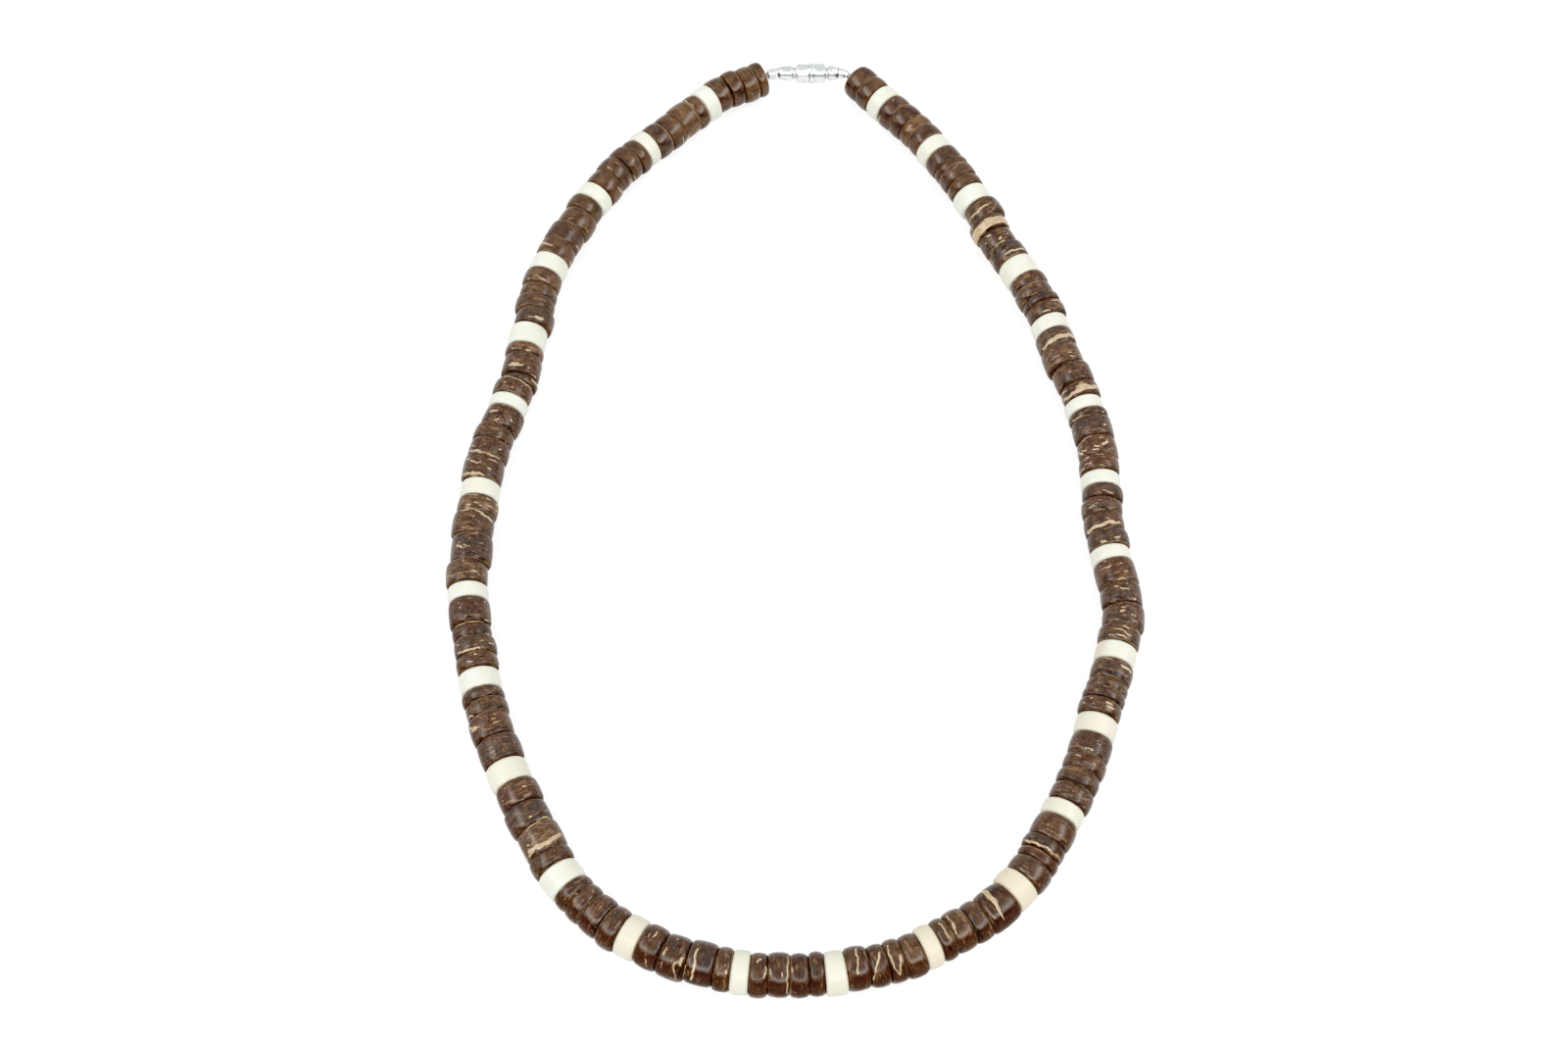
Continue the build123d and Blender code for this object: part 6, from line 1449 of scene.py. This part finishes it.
CLASP_RIGHT = [
    (0.04, 1.40, 0.6), (0.04, 1.90, 0.4), (0.10, 2.05, 0.1), (0.25, 2.13, 0.0),
    (0.45, 2.15, 0.0), (0.70, 2.14, 0.0), (0.88, 2.08, 0.0), (0.99, 1.98, 0.3),
    (1.05, 1.90, 0.7), (1.13, 1.90, 0.7), (1.22, 1.95, 0.2), (1.50, 1.97, 0.0),
    (2.30, 1.97, 0.0), (2.95, 1.97, 0.0), (3.15, 1.93, 0.0), (3.28, 1.82, 0.2),
    (3.34, 1.60, 0.5), (3.37, 1.25, 0.9), (3.45, 1.14, 1.0), (3.80, 1.14, 0.9),
    (3.92, 1.18, 0.9), (3.98, 1.36, 0.5), (4.06, 1.50, 0.2), (4.20, 1.57, 0.0),
    (4.60, 1.58, 0.0), (5.00, 1.54, 0.0), (5.35, 1.46, 0.0), (5.65, 1.36, 0.0),
    (5.88, 1.27, 0.0), (6.01, 1.18, 0.0), (6.05, 1.04, 0.2), (5.95, 0.90, 0.6),
    (4.70, 0.90, 1.0),
]
# The crimps follow the thread's bend. Columns: distance along the thread's
# line, radius, how grimy, radius of the bore.
CRIMP_LEFT = [
    (6.51, 0.90, 0.4, 0.88), (6.47, 1.02, 0.1, 0.88), (6.52, 1.12, 0.0, 0.87), (6.72, 1.17, 0.0, 0.85),
    (7.20, 1.17, 0.0, 0.80), (7.60, 1.14, 0.0, 0.74), (8.00, 1.12, 0.0, 0.68), (8.40, 1.08, 0.0, 0.62),
    (8.65, 1.00, 0.0, 0.58), (8.78, 0.86, 0.2, 0.55), (8.82, 0.62, 0.6, 0.53),
]
CRIMP_RIGHT = [
    (6.11, 0.90, 0.4, 0.88), (6.07, 1.03, 0.1, 0.88), (6.11, 1.12, 0.0, 0.87), (6.28, 1.15, 0.0, 0.84),
    (6.70, 1.12, 0.0, 0.76), (7.10, 1.03, 0.0, 0.69), (7.50, 0.92, 0.0, 0.63), (7.90, 0.79, 0.0, 0.58),
    (8.20, 0.70, 0.1, 0.54), (8.32, 0.63, 0.2, 0.53), (8.35, 0.56, 0.6, 0.53),
]


def densify(table, step):
    """More rows between a table's rows, along a smooth curve."""
    t = np.array(table, float)
    d = np.r_[0, np.cumsum(np.hypot(np.diff(t[:, 0]), np.diff(t[:, 1])))]
    n = max(len(t) * 2, int(d[-1] / step))
    s = np.linspace(0, d[-1], n)
    s = np.unique(np.concatenate([s, d]))
    return np.stack([np.interp(s, d, t[:, k]) for k in range(t.shape[1])], 1)


# the clasp hangs this far behind the thread's line, in the play of its holes
CLASP_BACK = 0.40
# distance along the route from its start to its end, and from the clasp's
# middle to the start
ROUTE_LENGTH = PIECES[-1][0] + PIECES[-1][1]
IN_CLASP = 5.0


def crimp_piece(name, table, way, material, around=64):
    """Crimp bead drawn along the thread. way is -1 for the left."""
    rows = densify(table, 0.05)
    inside = rows[::-1].copy()
    inside[:, 1] = inside[:, 3]
    rows = np.concatenate([rows, inside])
    start, end = table[0][0], table[-1][0]
    theta = np.linspace(0, 2 * math.pi, around, endpoint=False)
    verts, local, grime = [], [], []
    for at, radius, grimy, _ in rows:
        s = at - IN_CLASP
        x, y, heading = station(s if way > 0 else ROUTE_LENGTH - s)
        back = CLASP_BACK * float(np.clip(1 - (at - start) / (end - start), 0, 1))
        u, o = radius * np.cos(theta), radius * np.sin(theta)
        verts.append(np.stack([x - math.sin(heading) * o, y + math.cos(heading) * o + back,
                               AXIS_HEIGHT + u], 1))
        local.append(np.stack([u, o, np.full(around, at)], 1))
        grime.append(np.full(around, grimy))
    faces = lathe_faces(len(rows), around, True)
    if way > 0:
        faces = faces[:, ::-1]
    return make_mesh(name, np.concatenate(verts) * MM, faces,
                     {"own_mm": np.concatenate(local) + 40.0, "groove": np.concatenate(grime)},
                     material)


def turned_piece(name, table, way, material, node, around, shape=None):
    """Metal piece turned about the clasp's axis. way is -1 for the left."""
    rows = densify(table, 0.05)
    n = len(rows)
    theta = np.tile(np.linspace(0, 2 * math.pi, around, endpoint=False), n)
    z = np.repeat(rows[:, 0], around)
    r = np.repeat(rows[:, 1], around)
    grime = np.repeat(rows[:, 2], around)
    if shape is not None:
        r = r * shape(z, theta)
    u, o = r * np.cos(theta), r * np.sin(theta)
    verts = np.stack([CLASP_X + way * z, CLASP_Y + CLASP_BACK + o, AXIS_HEIGHT + u], 1) * MM
    faces = lathe_faces(n, around, True)
    if way > 0:
        faces = faces[:, ::-1]
    local = np.stack([u, o, z * way], 1)
    obj = make_mesh(name, verts, faces,
                    {"own_mm": local + 40.0, "groove": grime}, material)
    return obj


def faceted(z, theta):
    """The left barrel has shallow flats for gripping."""
    on = np.clip((z - 0.25) / 0.2, 0, 1) * np.clip((2.45 - z) / 0.2, 0, 1)
    flat = np.cos((theta + math.pi / 10) % (2 * math.pi / 10) - math.pi / 10)
    return 1 - on * (1 - np.cos(math.pi / 10) / np.maximum(flat, 0.5)) * 0.6 - on * 0.012


left = turned_piece("clasp_left", CLASP_LEFT, -1, METAL_MATERIAL, "clasp_half_left", 120, faceted)
finish_piece(left, "clasp_metal", "clasp_half_left")
right = turned_piece("clasp_right", CLASP_RIGHT, 1, METAL_MATERIAL, "clasp_half_right", 120)
finish_piece(right, "clasp_metal", "clasp_half_right")
for name, table, way in (("crimp_bead_left", CRIMP_LEFT, -1), ("crimp_bead_right", CRIMP_RIGHT, 1)):
    obj = crimp_piece(name, table, way, CRIMP_MATERIAL)
    finish_piece(obj, "crimp_metal", "crimp_left" if way < 0 else "crimp_right")

# ------------------------------------------------------------------- thread
thread = nodes["thread"]
for s in thread.material_slots:
    s.material = THREAD_MATERIAL

# -------------------------------------------------------------------- floor
floor_mesh = bpy.data.meshes.new("floor")
E = 3.0
floor_mesh.from_pydata([(-E, -E, 0), (E, -E, 0), (E, E, 0), (-E, E, 0)], [], [(0, 1, 2, 3)])
floor = bpy.data.objects.new("floor", floor_mesh)
bpy.context.scene.collection.objects.link(floor)
g = Graph("pale_floor")
g.bsdf.inputs["Base Color"].default_value = (0.26, 0.26, 0.26, 1.0)
g.bsdf.inputs["Roughness"].default_value = 0.9
g.bsdf.inputs["Specular IOR Level"].default_value = 0.1
g.bsdf.inputs["Emission Color"].default_value = (1.0, 1.0, 1.0, 1.0)
g.bsdf.inputs["Emission Strength"].default_value = 0.76
floor_mesh.materials.append(g.material)

# -------------------------------------------------------------------- light


def lamp(name, place_at, look_at, width, length, power, colour=(1, 1, 1)):
    data = bpy.data.lights.new(name, "AREA")
    data.shape = "RECTANGLE"
    data.size, data.size_y = width, length
    data.energy = power
    data.color = colour
    obj = bpy.data.objects.new(name, data)
    obj.location = place_at
    way = Vector(look_at) - Vector(place_at)
    obj.rotation_mode = "QUATERNION"
    obj.rotation_quaternion = way.to_track_quat("-Z", "Y")
    bpy.context.scene.collection.objects.link(obj)
    return obj


lamp("soft_left", (-0.48, 0.05, 0.50), (0, 0, 0), 0.60, 0.90, 0.30)
lamp("soft_right", (0.48, 0.05, 0.50), (0, 0, 0), 0.60, 0.90, 0.30)

world = bpy.data.worlds.new("studio")
world.use_nodes = True
tree = world.node_tree
tree.nodes.clear()
out = tree.nodes.new("ShaderNodeOutputWorld")
background = tree.nodes.new("ShaderNodeBackground")
background.inputs["Strength"].default_value = 1.0
coords = tree.nodes.new("ShaderNodeTexCoord")
split = tree.nodes.new("ShaderNodeSeparateXYZ")
tree.links.new(coords.outputs["Generated"], split.inputs[0])


def zone(value, low, high):
    """0 under low and 1 over high, along one axis of the world."""
    made = tree.nodes.new("ShaderNodeMapRange")
    made.interpolation_type = "SMOOTHSTEP"
    made.inputs["From Min"].default_value = low
    made.inputs["From Max"].default_value = high
    tree.links.new(split.outputs[value], made.inputs["Value"])
    return made.outputs[0]


def product(a, b):
    made = tree.nodes.new("ShaderNodeMath")
    made.operation = "MULTIPLY"
    tree.links.new(a, made.inputs[0])
    tree.links.new(b, made.inputs[1])
    return made.outputs[0]


# white all round, with a dark strip of the room low in front and a wide soft
# light above it, which the polished rims and the clasp reflect
room = product(product(zone("Y", -0.30, -0.48), zone("Z", 0.20, 0.30)), zone("Z", 0.53, 0.45))
window = product(product(zone("Y", 0.36, 0.12), zone("Z", 0.45, 0.53)), zone("Z", 0.92, 0.86))
core = product(product(zone("Y", 0.36, 0.12), zone("Z", 0.52, 0.64)), zone("Z", 0.86, 0.76))
shade = tree.nodes.new("ShaderNodeMapRange")
shade.inputs["To Min"].default_value = 0.90
shade.inputs["To Max"].default_value = 0.02
tree.links.new(room, shade.inputs["Value"])
front = tree.nodes.new("ShaderNodeMath")
front.operation = "MULTIPLY_ADD"
front.inputs[1].default_value = 0.50
tree.links.new(window, front.inputs[0])
tree.links.new(shade.outputs[0], front.inputs[2])
middle = tree.nodes.new("ShaderNodeMath")
middle.operation = "MULTIPLY_ADD"
middle.inputs[1].default_value = 2.35
tree.links.new(core, middle.inputs[0])
tree.links.new(front.outputs[0], middle.inputs[2])
tree.links.new(middle.outputs[0], background.inputs["Color"])
tree.links.new(background.outputs[0], out.inputs["Surface"])
bpy.context.scene.world = world

bpy.context.scene.view_settings.view_transform = "Standard"
bpy.context.scene.view_settings.look = "None"
# a little more depth in the darks, as the photo's tone curve gives
curve = bpy.context.scene.view_settings
curve.use_curve_mapping = True
combined = curve.curve_mapping.curves[3]
for point in ((0.02, 0.002), (0.05, 0.012), (0.10, 0.055), (0.20, 0.155), (0.50, 0.475)):
    combined.points.new(*point)
curve.curve_mapping.update()
